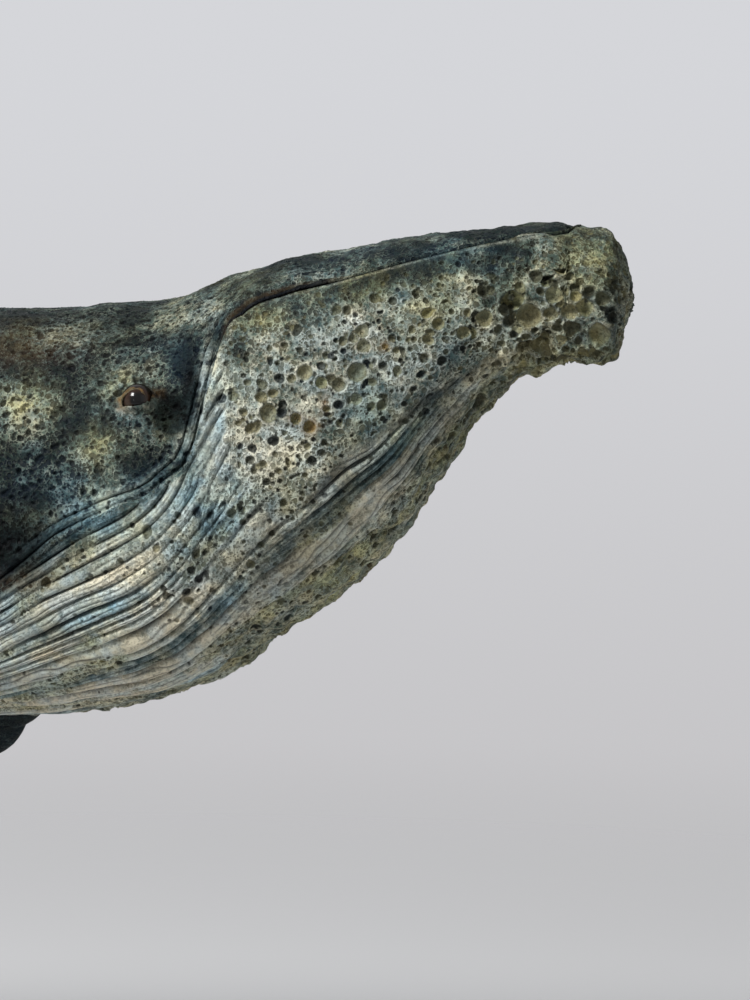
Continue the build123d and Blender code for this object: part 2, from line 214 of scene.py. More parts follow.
# Upper edge of the pleats in that picture: across and down as shares of its height
PLEAT_EDGE_SHARES = [
    (0.000, 0.300),
    (0.200, 0.300),
    (0.218, 0.345),
    (0.223, 0.400),
    (0.232, 0.465),
    (0.258, 0.500),
    (0.290, 0.515),
    (0.310, 0.500),
    (0.325, 0.478),
    (0.350, 0.452),
    (0.390, 0.425),
    (0.430, 0.395),
    (0.470, 0.370),
    (0.500, 0.350),
    (0.530, 0.362),
    (0.560, 0.420),
]
# Pitted ground among the pleats in that picture: across, down, half width and half height
KNOT_SHARES = [
    (0.200, 0.555, 0.085, 0.050),
    (0.222, 0.490, 0.036, 0.036),
    (0.285, 0.510, 0.024, 0.020),
]
# Fan of long strands below the jaw and dent in the chin, measured in the same way
FAN_SHARES = (0.385, 0.465, 0.070, 0.050)
DENT_SHARES = (0.634, 0.340, 0.018, 0.022)
# Lower outline of the throat in that picture
OUTLINE_SHARES = [
    (0.000, 0.712),
    (0.080, 0.714),
    (0.160, 0.701),
    (0.200, 0.691),
    (0.240, 0.662),
    (0.280, 0.638),
    (0.320, 0.611),
    (0.360, 0.575),
    (0.400, 0.530),
    (0.440, 0.473),
    (0.480, 0.412),
    (0.520, 0.379),
    (0.600, 0.372),
]
# Pits worth placing one by one: across, down, radius and colour of the floor from dark to ochre, all shares
PIT_SHARES = [
    (0.537, 0.275, 0.0074, 0.15),
    (0.521, 0.288, 0.0060, 0.45),
    (0.555, 0.296, 0.0092, 0.60),
    (0.589, 0.293, 0.0070, 0.10),
    (0.576, 0.296, 0.0060, 0.85),
    (0.530, 0.318, 0.0140, 0.55),
    (0.552, 0.315, 0.0070, 0.50),
    (0.505, 0.311, 0.0062, 0.15),
    (0.485, 0.318, 0.0084, 0.55),
    (0.463, 0.332, 0.0070, 0.80),
    (0.439, 0.324, 0.0065, 0.60),
    (0.427, 0.313, 0.0058, 0.85),
    (0.428, 0.340, 0.0060, 0.60),
    (0.467, 0.312, 0.0040, 0.45),
    (0.474, 0.319, 0.0034, 0.05),
    (0.452, 0.311, 0.0034, 0.30),
    (0.499, 0.330, 0.0044, 0.40),
    (0.512, 0.298, 0.0034, 0.10),
    (0.570, 0.313, 0.0086, 0.60),
    (0.572, 0.330, 0.0088, 0.20),
    (0.604, 0.299, 0.0078, 0.35),
    (0.616, 0.318, 0.0078, 0.10),
    (0.600, 0.336, 0.0115, 0.65),
    (0.602, 0.272, 0.0042, 0.10),
    (0.571, 0.275, 0.0042, 0.10),
    (0.580, 0.281, 0.0034, 0.20),
    (0.612, 0.283, 0.0040, 0.40),
    (0.586, 0.262, 0.0034, 0.35),
    (0.523, 0.346, 0.0056, 0.20),
    (0.546, 0.352, 0.0066, 0.40),
    (0.562, 0.360, 0.0060, 0.20),
    (0.583, 0.353, 0.0062, 0.45),
    (0.357, 0.373, 0.0100, 0.60),
    (0.339, 0.385, 0.0075, 0.45),
    (0.322, 0.383, 0.0066, 0.95),
    (0.305, 0.372, 0.0085, 0.65),
    (0.322, 0.366, 0.0046, 0.15),
    (0.330, 0.355, 0.0037, 0.05),
    (0.343, 0.341, 0.0046, 0.45),
    (0.343, 0.351, 0.0036, 0.05),
    (0.362, 0.331, 0.0068, 0.60),
    (0.363, 0.346, 0.0072, 0.70),
    (0.338, 0.405, 0.0054, 0.05),
    (0.357, 0.399, 0.0060, 0.60),
    (0.373, 0.382, 0.0047, 0.50),
    (0.397, 0.370, 0.0050, 0.70),
    (0.310, 0.427, 0.0070, 0.95),
    (0.296, 0.419, 0.0054, 0.95),
    (0.326, 0.409, 0.0040, 0.95),
    (0.268, 0.413, 0.0090, 0.65),
    (0.283, 0.405, 0.0046, 0.10),
    (0.260, 0.383, 0.0050, 0.45),
    (0.262, 0.397, 0.0060, 0.55),
    (0.273, 0.394, 0.0053, 0.55),
    (0.247, 0.383, 0.0040, 0.40),
    (0.251, 0.429, 0.0060, 0.50),
    (0.252, 0.448, 0.0048, 0.05),
    (0.313, 0.460, 0.0052, 0.00),
    (0.322, 0.452, 0.0040, 0.20),
    (0.250, 0.460, 0.0046, 0.20),
    (0.243, 0.412, 0.0046, 0.50),
    (0.270, 0.362, 0.0034, 0.05),
    (0.385, 0.346, 0.0034, 0.95),
    (0.392, 0.338, 0.0040, 0.40),
    (0.403, 0.350, 0.0036, 0.20),
    (0.412, 0.330, 0.0042, 0.50),
    (0.284, 0.345, 0.0036, 0.30),
    (0.300, 0.350, 0.0034, 0.20),
    (0.197, 0.512, 0.0054, 0.00),
    (0.210, 0.515, 0.0040, 0.20),
    (0.178, 0.516, 0.0038, 0.40),
    (0.240, 0.507, 0.0038, 0.10),
    (0.198, 0.580, 0.0042, 0.00),
    (0.186, 0.592, 0.0044, 0.05),
    (0.062, 0.459, 0.0042, 0.05),
    (0.040, 0.336, 0.0038, 0.05),
    (0.072, 0.367, 0.0040, 0.05),
    (0.055, 0.385, 0.0036, 0.05),
]
# Paint patches: kind, across, down, half width, half height and strength, all shares. The patches of the
# darkening kind are painted shade: on the armpit, by the eye, at the corner of the mouth and elsewhere on
# the jaw and back.
PATCH_SHARES = [
    ("pale", 0.282, 0.455, 0.042, 0.036, 0.38),
    ("pale", 0.395, 0.455, 0.060, 0.030, -0.16),
    ("pale", 0.345, 0.500, 0.030, 0.030, -0.14),
    ("pale", 0.403, 0.286, 0.008, 0.007, 0.50),
    ("pale", 0.209, 0.395, 0.012, 0.055, 0.70),
    ("pale", 0.110, 0.592, 0.055, 0.022, 0.22),
    ("pale", 0.040, 0.665, 0.080, 0.028, 0.12),
    ("pale", 0.124, 0.412, 0.010, 0.010, 0.35),
    ("pale", 0.245, 0.545, 0.030, 0.025, 0.12),
    ("ochre", 0.026, 0.402, 0.034, 0.026, 1.00),
    ("ochre", 0.098, 0.447, 0.026, 0.020, 0.90),
    ("ochre", 0.118, 0.385, 0.020, 0.018, 0.90),
    ("ochre", 0.165, 0.425, 0.016, 0.018, 0.50),
    ("ochre", 0.030, 0.520, 0.028, 0.014, 0.50),
    ("ochre", 0.170, 0.318, 0.030, 0.016, 0.40),
    ("ochre", 0.265, 0.322, 0.032, 0.014, 0.60),
    ("ochre", 0.352, 0.290, 0.030, 0.012, 0.60),
    ("ochre", 0.590, 0.262, 0.042, 0.030, 0.80),
    ("ochre", 0.430, 0.300, 0.040, 0.030, 0.40),
    ("ochre", 0.500, 0.300, 0.060, 0.040, 0.20),
    ("ochre", 0.330, 0.560, 0.070, 0.060, 0.35),
    ("ochre", 0.400, 0.445, 0.070, 0.040, 0.50),
    ("ochre", 0.150, 0.530, 0.050, 0.020, 0.45),
    ("ochre", 0.085, 0.645, 0.090, 0.030, 0.40),
    ("blue", 0.470, 0.256, 0.070, 0.016, 0.70),
    ("blue", 0.403, 0.286, 0.011, 0.010, 0.70),
    ("blue", 0.300, 0.385, 0.040, 0.030, 0.35),
    ("blue", 0.205, 0.440, 0.022, 0.060, 0.90),
    ("blue", 0.120, 0.505, 0.080, 0.035, 0.80),
    ("blue", 0.240, 0.505, 0.040, 0.035, 0.60),
    ("blue", 0.380, 0.430, 0.060, 0.030, 0.50),
    ("blue", 0.180, 0.370, 0.020, 0.030, 0.25),
    ("blue", 0.040, 0.620, 0.050, 0.020, 0.60),
    # Painted shade: the pocket by the eye, the armpit, the corner of the mouth and other darkened spots.
    ("soot", 0.173, 0.417, 0.022, 0.025, 1.00),
    ("soot", 0.192, 0.385, 0.010, 0.032, 1.00),
    ("soot", 0.008, 0.548, 0.058, 0.042, 1.20),
    ("soot", 0.435, 0.412, 0.040, 0.025, 0.45),
    ("soot", 0.380, 0.460, 0.035, 0.030, 0.40),
    ("soot", 0.265, 0.560, 0.060, 0.040, 0.50),
    ("soot", 0.040, 0.628, 0.035, 0.012, 0.40),
    ("soot", 0.212, 0.335, 0.008, 0.016, 0.60),
    ("soot", 0.622, 0.312, 0.012, 0.035, 0.30),
    ("soot", 0.075, 0.335, 0.085, 0.030, 0.42),
    ("soot", 0.340, 0.485, 0.020, 0.030, 0.50),
    ("soot", 0.310, 0.520, 0.030, 0.025, 0.30),
    ("rust", 0.310, 0.427, 0.009, 0.008, 1.00),
    ("rust", 0.296, 0.419, 0.007, 0.006, 1.00),
    ("rust", 0.324, 0.402, 0.005, 0.012, 0.60),
    ("rust", 0.385, 0.346, 0.005, 0.005, 0.60),
    ("rust", 0.030, 0.345, 0.050, 0.020, 0.20),
    ("rust", 0.020, 0.580, 0.040, 0.012, 0.40),
    ("rust", 0.060, 0.640, 0.030, 0.014, 0.20),
]
# Marks that the relief leaves on a skin for the paint to read, four to an attribute
ATTRIBUTES = {
    "relief": ("pit", "rim", "groove", "rust"),
    "paint": ("pale", "ochre", "blue", "tone"),
    # The form's last mark is painted shade: a dark glaze laid where shade falls.
    "form": ("smooth", "wear", "pink", "soot"),
}
MARKS = [mark for marks in ATTRIBUTES.values() for mark in marks]
# Large factors and shifts that mix a cell's indices and the seed into one repeatable number
HASH_FACTORS = (73856093, 19349663, 83492791)
HASH_SEED_FACTOR = 668265263
HASH_STEPS = ((15, 2246822519), (13, 3266489917))
HASH_WORD = 0xFFFFFFFF
# Thin coloured glazes over the paint, as the share of red, green and blue that each lets through
WARM_GLAZE = (1.0, 0.965, 0.84)
COOL_GLAZE = (0.87, 0.96, 1.0)
BLUE_GLAZE = (0.46, 0.76, 1.0)
OCHRE_GLAZE = (0.97, 0.95, 0.64)
PINK_GLAZE = (1.0, 0.91, 0.86)
# Glaze of painted shade, laid where shade falls.
SOOT_GLAZE = (0.06, 0.08, 0.09)
# Fine foam of the paint: cells to the metre, the three sizes, and the noise that shifts the places
FOAM_SCALE = 1150.0
FOAM_SIZES = (1.0, 1.7, 2.9)
FOAM_SWAY_SCALE = 1400.0
FOAM_SWAY_M = (0.0004, 0.0004, 0.0004)
SKIN_BUMP_MM = 0.26
# Glass eye: way that the pupil faces and way of the painted glow on the left eye, painted light through the
# glass, and colours from the edge inwards
EYE_AXIS = (0.25, 1.0, 0.05)
EYE_GLOW_AXIS = (-0.42, 1.0, -0.22)
EYE_GLOW = (50, 38, 29)
IRIS_STOPS = ((0.60, (18, 12, 9)), (0.76, (46, 29, 18)), (0.88, (30, 19, 12)), (0.94, (5, 5, 5)))
# Finishes of the solids that keep their shape: darker and lighter colour, how fine the streaks are along
# each axis, metal or not, least and greatest roughness, and depth of the bump in millimetres
FINISHES = {
    "paper_pulp": ((168, 152, 124), (206, 192, 164), (500.0, 700.0, 700.0), 0.0, (0.85, 0.95), 0.4),
    "drawn_bar": ((176, 178, 182), (214, 216, 219), (40.0, 2600.0, 2600.0), 1.0, (0.28, 0.45), 0.02),
    "steel_wire": ((150, 150, 152), (190, 190, 192), (2200.0, 300.0, 2200.0), 1.0, (0.25, 0.42), 0.02),
    "dowel_wood": ((170, 130, 84), (212, 176, 126), (1800.0, 1800.0, 160.0), 0.0, (0.55, 0.75), 0.08),
    "aged_brass": ((150, 112, 56), (206, 166, 98), (900.0, 900.0, 5200.0), 1.0, (0.24, 0.44), 0.02),
    "brushed_rod": ((128, 128, 130), (186, 186, 188), (2600.0, 2600.0, 60.0), 1.0, (0.26, 0.44), 0.02),
    "stained_wood": ((46, 27, 17), (98, 60, 37), (55.0, 520.0, 520.0), 0.0, (0.34, 0.52), 0.10),
    "green_felt": ((34, 50, 40), (66, 84, 70), (2400.0, 2600.0, 2400.0), 0.0, (0.92, 1.0), 0.25),
}
INSIDE_FINISHES = {
    "paper_core": "paper_pulp",
    "spine_rod": "drawn_bar",
    "flipper_pins": "steel_wire",
    "dorsal_pin": "steel_wire",
    "fluke_pin": "steel_wire",
    "jaw_dowels": "dowel_wood",
}
STAND_FINISHES = {
    "rod_bush": "aged_brass",
    "rod_collar": "aged_brass",
    "base_ferrule": "aged_brass",
    "support_rod": "brushed_rod",
    "base_disc": "stained_wood",
    "base_felt": "green_felt",
}
# Lights: way from the figure as shares of right, up and towards the camera, distance and size in metres,
# and power in watts
LAMPS = {
    "key_light": ((-0.68, 0.75, 0.70), 1.2, 0.36, 19.0),
    "fill_light": ((0.9, 0.25, 0.9), 1.4, 1.2, 1.2),
    "rim_light": ((-0.3, 1.0, -0.8), 1.3, 0.9, 1.0),
}
SENSOR_MM = 36.0
# Table top: radii of its rings in metres, and the columns round it
TABLE_RINGS_M = (0.0005, 0.3, 0.8, 2.0, 4.0)
TABLE_COLUMNS = 96


def paint_colour(red, green, blue):
    """Colour for the shaders from the usual 0 to 255 values."""
    shares = np.array([red, green, blue]) / 255.0
    bright = np.where(shares <= 0.04045, shares / 12.92, ((shares + 0.055) / 1.055) ** 2.4)
    return tuple(float(part) for part in bright)


def length_property(name, description, millimetres):
    """Size in millimetres, kept in metres."""
    return FloatProperty(
        name=name, description=description, default=millimetres * MM, subtype="DISTANCE", unit="LENGTH"
    )


def angle_property(name, description, degrees):
    """Angle in degrees, kept in radians."""
    return FloatProperty(name=name, description=description, default=math.radians(degrees), subtype="ANGLE")


def number_property(name, description, value, low, high):
    """Plain number between two limits."""
    return FloatProperty(name=name, description=description, default=value, min=low, max=high)


def colour_property(name, description, red, green, blue):
    """Paint colour given in the usual 0 to 255 values."""
    return FloatVectorProperty(
        name=name,
        description=description,
        default=paint_colour(red, green, blue),
        min=0.0,
        max=1.0,
        subtype="COLOR",
    )


class WhaleSizes(bpy.types.PropertyGroup):
    """Sizes of the figure, the same as the solids have."""

    body_length: length_property("Body length", "Chin to the seat of the flukes", 273.0)
    body_depth: length_property("Body depth", "Belly line to back line", 58.0)
    half_width: length_property("Half width", "Middle plane to the widest part of the trunk", 27.0)
    belly_line: length_property("Belly line", "Height of the belly line above the table", 79.5)
    flipper_span: length_property("Flipper span", "Root to tip of a flipper", 74.0)
    flipper_half_chord: length_property("Flipper half chord", "Half the breadth of a flipper", 12.0)
    flipper_half_thickness: length_property("Flipper half thickness", "Half the root's thickness", 4.2)
    flipper_sweep: length_property("Flipper sweep", "How far the tip lies behind the root", 48.0)
    flipper_droop: length_property("Flipper droop", "How far the tip hangs below the span line", 22.0)
    flipper_proud: length_property("Flipper root", "Straight root outside the skin", 4.0)
    dorsal_height: length_property("Dorsal height", "Height of the dorsal fin", 8.5)
    dorsal_half_length: length_property("Dorsal half length", "Half the length of the fin's foot", 13.0)
    dorsal_half_thickness: length_property("Dorsal half thickness", "Half the foot's thickness", 3.6)
    dorsal_sweep: length_property("Dorsal sweep", "How far the fin's tip leans back", 11.0)
    fluke_half_span: length_property("Fluke half span", "Middle plane to a fluke's tip", 48.0)
    fluke_half_chord: length_property("Fluke half chord", "Half the breadth of a fluke", 12.0)
    fluke_half_thickness: length_property("Fluke half thickness", "Half the thickness of a fluke", 3.6)
    fluke_reach: length_property("Fluke reach", "Tail end to the middle of the flukes", 12.0)
    fluke_sweep: length_property("Fluke sweep", "How far the tips lie behind the middle", 26.0)
    fluke_lift: length_property("Fluke lift", "How far the tips are turned up", 3.0)
    eye_radius: length_property("Eye radius", "Radius of the glass bead", 2.3)
    eye_sunk: length_property("Eye sunk", "How deep the bead's middle lies under the skin", 1.3)
    rod_share: number_property("Rod share", "Place of the rod along the body", 0.436, 0.0, 1.0)
    section_power: number_property("Section power", "Fullness of the body's section", 2.2, 2.0, 4.0)
    flipper_tilt: angle_property("Flipper tilt", "Downward tilt of the roots", 20.0)


class WhaleRelief(bpy.types.PropertyGroup):
    """Depths of the modelled skin."""

    pit_depth: number_property("Pit depth", "Depth of a pit as a share of its radius", 0.90, 0.0, 1.0)
    groove_depth: length_property("Groove depth", "Depth of the throat grooves", 0.72)
    lump_height: length_property("Lump height", "Height of the hand-modelled unevenness", 0.50)
    strands: number_property("Strands", "Pleats on each side of the throat", 23.0, 4.0, 40.0)
    seed: IntProperty(name="Seed", description="Start of the repeatable pattern", default=7, min=0)


class WhalePaint(bpy.types.PropertyGroup):
    """Paints of the figure."""

    dark: colour_property("Dark", "Back and cheek", 18, 30, 29)
    slate: colour_property("Slate", "Grey between dark and pale", 76, 91, 88)
    pale: colour_property("Pale", "Jaw and throat", 154, 157, 149)
    cream: colour_property("Cream", "Brushed high spots", 228, 225, 213)
    blue: colour_property("Blue", "Blue-grey wash", 44, 74, 98)
    olive: colour_property("Olive", "Floors of the pits", 150, 145, 118)
    ochre: colour_property("Ochre", "Yellow-brown wash", 152, 146, 104)
    rust: colour_property("Rust", "Orange-brown spots", 126, 92, 50)
    pink: colour_property("Pink", "Pinkish grey of some strands", 176, 160, 150)
    ink: colour_property("Ink", "Dark wash in the grooves", 10, 17, 24)


class WhaleStage(bpy.types.PropertyGroup):
    """Camera, which sees the picture that the pits were chosen in, and the colours behind the figure."""

    azimuth: angle_property("Azimuth", "Camera turn", STENCIL_TURN_DEG)
    elevation: angle_property("Elevation", "Camera height as an angle", STENCIL_RISE_DEG)
    distance: length_property("Distance", "Camera to the point that it looks at", STENCIL_DISTANCE_MM)
    frame_height: length_property("Frame height", "Height of the picture at the whale", STENCIL_HEIGHT_MM)
    aim_along: length_property("Aim along", "Point looked at, from the chin", STENCIL_MIDDLE_MM[0])
    aim_above: length_property("Aim above", "Point looked at, above the belly line", STENCIL_MIDDLE_MM[1])
    backdrop: colour_property("Backdrop", "Paper behind the figure", 213, 214, 218)
    backdrop_low: colour_property("Lower backdrop", "Paper near the table", 196, 195, 197)
    floor: colour_property("Floor", "Table under the figure", 212, 211, 212)


def sizes():
    """Settings of the figure's sizes."""
    return bpy.context.scene.whale_sizes


def chin_x():
    """Distance of the chin's tip ahead of the rod, in millimetres."""
    return sizes().rod_share * sizes().body_length / MM


# Curves and patterns


def step(value, low, high):
    """0 below low and 1 above high, with a cubic step between."""
    part = np.clip((value - low) / (high - low), 0.0, 1.0)
    return part * part * (3.0 - 2.0 * part)


def fade(value, low, high):
    """1 below low and 0 above high, the reverse of step."""
    return 1.0 - step(value, low, high)


def between(value, low, full, end, gone):
    """1 from full to end, and 0 below low and above gone."""
    return step(value, low, full) * fade(value, end, gone)


def bell(value, middle, width):
    """1 at the middle and falling off as a bell curve of the given width."""
    return np.exp(-(((value - middle) / width) ** 2))


def spot(across, down, middle, level, wide, high):
    """Bell in the picture, 1 at its middle, with a half width and a half height."""
    return np.exp(-(((across - middle) / wide) ** 2) - ((down - level) / high) ** 2)


def circle(count):
    """Angles evenly spaced once round."""
    return np.linspace(0.0, 2.0 * np.pi, count, endpoint=False)


def at_least(marks, name, values):
    """Raises one of the marks to the values where it is lower."""
    marks[name] = np.maximum(marks[name], values)


def view_ways(turn, rise):
    """Ways to the right and back to the camera, for a camera turned and raised by angles."""
    back = (math.sin(turn) * math.cos(rise), -math.cos(turn) * math.cos(rise), math.sin(rise))
    return (math.cos(turn), math.sin(turn), 0.0), back


def smooth_rows(rows, places):
    """Columns of a table at any places, by cubic Hermite pieces with slopes from the rows beside."""
    table = np.array(rows)
    knots = table[:, 0]
    values = table[:, 1:]
    slopes = np.gradient(values, knots, axis=0)
    low = np.clip(np.searchsorted(knots, places) - 1, 0, len(knots) - 2)
    run = (knots[low + 1] - knots[low])[:, None]
    part = np.clip((places - knots[low])[:, None] / run, 0.0, 1.0)
    rest = 1.0 - part
    start = (1.0 + 2.0 * part) * rest**2 * values[low] + part * rest**2 * run * slopes[low]
    end = part**2 * (3.0 - 2.0 * part) * values[low + 1] - part**2 * rest * run * slopes[low + 1]
    return start + end


def cell_numbers(cells, seed):
    """Repeatable numbers from 0 to 1 for whole-number cells, by hashing their three indices."""
    first, second, third = HASH_FACTORS
    mixed = cells[..., 0] * first ^ cells[..., 1] * second ^ cells[..., 2] * third
    mixed = (mixed ^ (seed * HASH_SEED_FACTOR)) & HASH_WORD
    for shift, factor in HASH_STEPS:
        mixed = ((mixed ^ (mixed >> shift)) * factor) & HASH_WORD
    mixed = mixed ^ (mixed >> 16)
    return (mixed & 0xFFFFFF) / float(0x1000000)


def lumps(points, size, seed):
    """Smooth unevenness from -1 to 1: numbers on a lattice of the given size, joined by cubic steps."""
    scaled = points / size
    base = np.floor(scaled).astype(np.int64)
    part = scaled - base
    part = part * part * (3.0 - 2.0 * part)
    total = np.zeros(len(points))
    for corner in np.ndindex(2, 2, 2):
        weight = np.prod(np.where(np.array(corner) == 1, part, 1.0 - part), axis=1)
        total += weight * cell_numbers(base + np.array(corner), seed)
    return 2.0 * total - 1.0


def bowl_shape(near):
    """Depth of a round pit, 1 at its middle and 0 at its edge, steep there: (1 - distance^2)^0.7."""
    return np.clip(1.0 - near**2, 0.0, 1.0) ** 0.7


def rim_shape(near):
    """Narrow raised ring just outside a pit's edge."""
    return np.clip(1.0 - np.abs(near - 1.13) / 0.20, 0.0, 1.0)


def pits(points, cell, small, large, fill, seed):
    """Round pits strewn through space. Each cell of a lattice may hold one ball, if its number is below
    fill. A point inside a ball gets the bowl's depth in millimetres, and one just outside gets the rim.
    Returns the depth, the bowl mask, the rim mask and a number that is the same all over one pit."""
    base = np.floor(points / cell).astype(np.int64)
    depth = np.zeros(len(points))
    mask = np.zeros(len(points))
    rim = np.zeros(len(points))
    tone = np.zeros(len(points))
    for offset in np.ndindex(3, 3, 3):
        cells = base + np.array(offset) - 1
        place = np.stack([cell_numbers(cells, seed + axis) for axis in range(3)], axis=1)
        here = cell_numbers(cells, seed + 3) < fill
        radius = small + (large - small) * cell_numbers(cells, seed + 4) ** 1.6
        near = np.sqrt(((points - (cells + place) * cell) ** 2).sum(axis=1)) / radius
        bowl = np.where(here, bowl_shape(near), 0.0)
        deeper = bowl * radius > depth
        tone = np.where(deeper, cell_numbers(cells, seed + 5), tone)
        depth = np.where(deeper, bowl * radius, depth)
        mask = np.maximum(mask, bowl)
        rim = np.maximum(rim, np.where(here, rim_shape(near), 0.0))
    return depth, mask, np.where(mask > 0.05, 0.0, rim), tone


def stencil(points):
    """Place of points in the picture that the pits were chosen in: across and down as shares of its height.
    The left half is mirrored onto the right, and nearer points spread from the middle as in a photograph."""
    right, back = view_ways(math.radians(STENCIL_TURN_DEG), math.radians(STENCIL_RISE_DEG))
    up = np.cross(back, right)
    from_chin, above = STENCIL_MIDDLE_MM
    middle, level = STENCIL_MIDDLE_SHARES
    run = points * np.array([1.0, 0.0, 1.0]) - np.abs(points[:, 1:2]) * np.array([0.0, 1.0, 0.0])
    run = run - np.array([chin_x() - from_chin, 0.0, level_to_z(0.0) + above])
    spread = STENCIL_DISTANCE_MM / (STENCIL_DISTANCE_MM - run @ np.array(back)) / STENCIL_HEIGHT_MM
    return middle + run @ np.array(right) * spread, level - run @ up * spread


def placed_pits(across, down):
    """Pits of the listed table: depth in millimetres, bowl mask, rim mask and colour of the floor."""
    depth = np.zeros(len(across))
    mask = np.zeros(len(across))
    rim = np.zeros(len(across))
    tone = np.zeros(len(across))
    for middle, level, radius, colour in PIT_SHARES:
        reach = 1.5 * radius
        close = np.flatnonzero((np.abs(across - middle) < reach) & (np.abs(down - level) < reach))
        near = np.sqrt((across[close] - middle) ** 2 + (down[close] - level) ** 2) / radius
        bowl = bowl_shape(near)
        rim[close] = np.maximum(rim[close], rim_shape(near))
        tone[close] = np.where(bowl > mask[close], colour, tone[close])
        depth[close] = np.maximum(depth[close], bowl * radius * STENCIL_HEIGHT_MM)
        mask[close] = np.maximum(mask[close], bowl)
    return depth, mask, np.where(mask > 0.05, 0.0, rim), tone


def patch(kind, across, down):
    """Sum of the paint patches of one kind, each a bell in the picture."""
    total = np.zeros(len(across))
    for name, middle, level, wide, high, strength in PATCH_SHARES:
        if name == kind:
            total += strength * spot(across, down, middle, level, wide, high)
    return total


def line_distance(x, z, line):
    """Distance in the side view from points to the nearest piece of an open line."""
    best = np.full(x.shape, np.inf)
    for (ax, az), (bx, bz) in zip(line[:-1], line[1:]):
        run_x = bx - ax
        run_z = bz - az
        part = np.clip(((x - ax) * run_x + (z - az) * run_z) / (run_x**2 + run_z**2), 0.0, 1.0)
        best = np.minimum(best, (x - ax - part * run_x) ** 2 + (z - az - part * run_z) ** 2)
    return np.sqrt(best)


# Sections of the body


def bent(value):
    """Sine or cosine bent into the fuller curve of the body's section."""
    return np.sign(value) * np.abs(value) ** (2.0 / sizes().section_power)


def unbent(value):
    """Undoes bent, and keeps within -1 and 1."""
    return np.sign(value) * np.clip(np.abs(value), 0.0, 1.0) ** (sizes().section_power / 2.0)


def stations(rows, nose, places):
    """Back, belly, half width and widest level at places along the body. Ahead of the nose's last full
    station the section shrinks as the end of an egg does: (1 - run^p)^(1/p) of its full size."""
    full, tip, level = nose
    back, belly, half, widest = smooth_rows(rows, np.maximum(places, full)).T
    run = np.clip((full - places) / (full - tip), 0.0, 1.0)
    power = sizes().section_power
    size = (1.0 - run**power) ** (1.0 / power)
    middle = widest + (level - widest) * run**2
    return middle + (back - widest) * size, middle + (belly - widest) * size, half * size, middle


def back_stations(places):
    """Stations of the upper casting."""
    return stations(ROSTRUM_SHARES + TRUNK_SHARES, ROSTRUM_NOSE_SHARES, places)


def jaw_stations(places):
    """Stations of the lower casting."""
    return stations(JAW_SHARES + TRUNK_SHARES, JAW_NOSE_SHARES, places)


def mouth_level(places):
    """Level of the line of the mouth at places along the body."""
    return smooth_rows(MOUTH_SHARES, np.clip(places, MOUTH_SHARES[0][0], MOUTH_SHARES[-1][0]))[:, 0]


def place_to_x(places):
    """Millimetres ahead of the rod."""
    return chin_x() - places * sizes().body_length / MM


def level_to_z(levels):
    """Millimetres above the table."""
    return (sizes().belly_line + levels * sizes().body_depth) / MM


def mouth_line():
    """Line of the mouth in the side view, in millimetres."""
    places = np.linspace(MOUTH_SHARES[0][0], MOUTH_SHARES[-1][0], 120)
    return np.stack([place_to_x(places), level_to_z(mouth_level(places))], axis=1)


def throat_end():
    """Place where the edge of the throat reaches the belly's keel."""
    places = np.linspace(*THROAT_END_SEARCH_SHARES, 400)
    belly = jaw_stations(places)[1]
    return float(places[np.argmax(mouth_level(places) <= belly)])


def skin_rows(nose, nose_rows, runs):
    """Places of a skin's rows, closest at the tip, and the rows where one piece meets the next."""
    full, tip, _ = nose
    bend = 1.0 - np.cos(np.linspace(0.0, np.pi / 2, nose_rows)[:-1])
    parts = [tip + (full - tip) * bend, np.array([full])]
    start = full
    for _, end, rows in runs:
        parts.append(np.linspace(start, end, rows)[1:])
        start = end
    cuts = np.cumsum([len(part) for part in parts])[2:-1] - 1
    return np.concatenate(parts), cuts


def columns(right, left, closing):
    """Places across a section, from -1 at the right edge to 1 at the left, and shares of the closing run."""
    across = np.concatenate([np.linspace(-1.0, 0.0, right + 1)[:-1], np.linspace(0.0, 1.0, left)])
    return across, np.linspace(0.97, -0.97, closing)


def back_sheet(places, across, closing):
    """Upper casting as a grid. Each row is the part of the body's section above the mouth: from the top, the
    angle runs to the mouth's level on both sides, y is half width times bent sine and z is height times bent
    cosine. A straight run under the arch closes the row."""
    back, belly, half, widest = back_stations(places)
    edge = np.minimum(mouth_level(places), np.where(places < ROSTRUM_NOSE_SHARES[0], widest, np.inf))
    rise = np.maximum(back - widest, TINY)
    drop = np.maximum(widest - belly, TINY)
    over = np.arccos(unbent(np.clip((edge - widest) / rise, 0.0, 1.0)))
    under = np.pi / 2 + np.arcsin(unbent(np.clip((widest - edge) / drop, 0.0, 1.0)))
    limit = np.where(edge > widest, over, under)
    limit = np.where(places > throat_end(), np.pi, limit)
    turn = across[None, :] * limit[:, None]
    y = half[:, None] * bent(np.sin(turn))
    up = bent(np.cos(turn))
    z = widest[:, None] + np.where(up > 0, up * rise[:, None], up * drop[:, None])
    floor_y = y[:, -1:] * closing[None, :]
    floor_z = np.repeat(z[:, -1:], len(closing), axis=1)
    return finish_sheet(places, np.hstack([y, floor_y]), np.hstack([z, floor_z]))


def throat_limit(places):
    """Angle from the keel to the lip. Round the rostrum's tip the lips stand just outside its edge."""
    back, belly, half, widest = jaw_stations(places)
    edge = mouth_level(places)
    run = np.where(edge > widest, np.maximum(back - widest, TINY), np.maximum(widest - belly, TINY))
    by_level = np.pi / 2 + np.arcsin(unbent(np.clip((edge - widest) / run, -1.0, 1.0)))
    rostrum_half = back_stations(np.maximum(places, ROSTRUM_NOSE_SHARES[1]))[2]
    clear = LIP_CLEAR_SHARE * np.clip((places - LIP_START_SHARE) / LIP_RUN_SHARE, 0.0, 1.0)
    beside = np.clip((rostrum_half + clear) / np.maximum(half, TINY), 0.0, 1.0)
    by_rostrum = np.pi - np.arcsin(unbent(np.where(places < LIP_START_SHARE, 0.0, beside)))
    limit = by_rostrum + (by_level - by_rostrum) * step(places, *LIP_BLEND_SHARES)
    return np.where(places >= throat_end(), 0.0, limit)


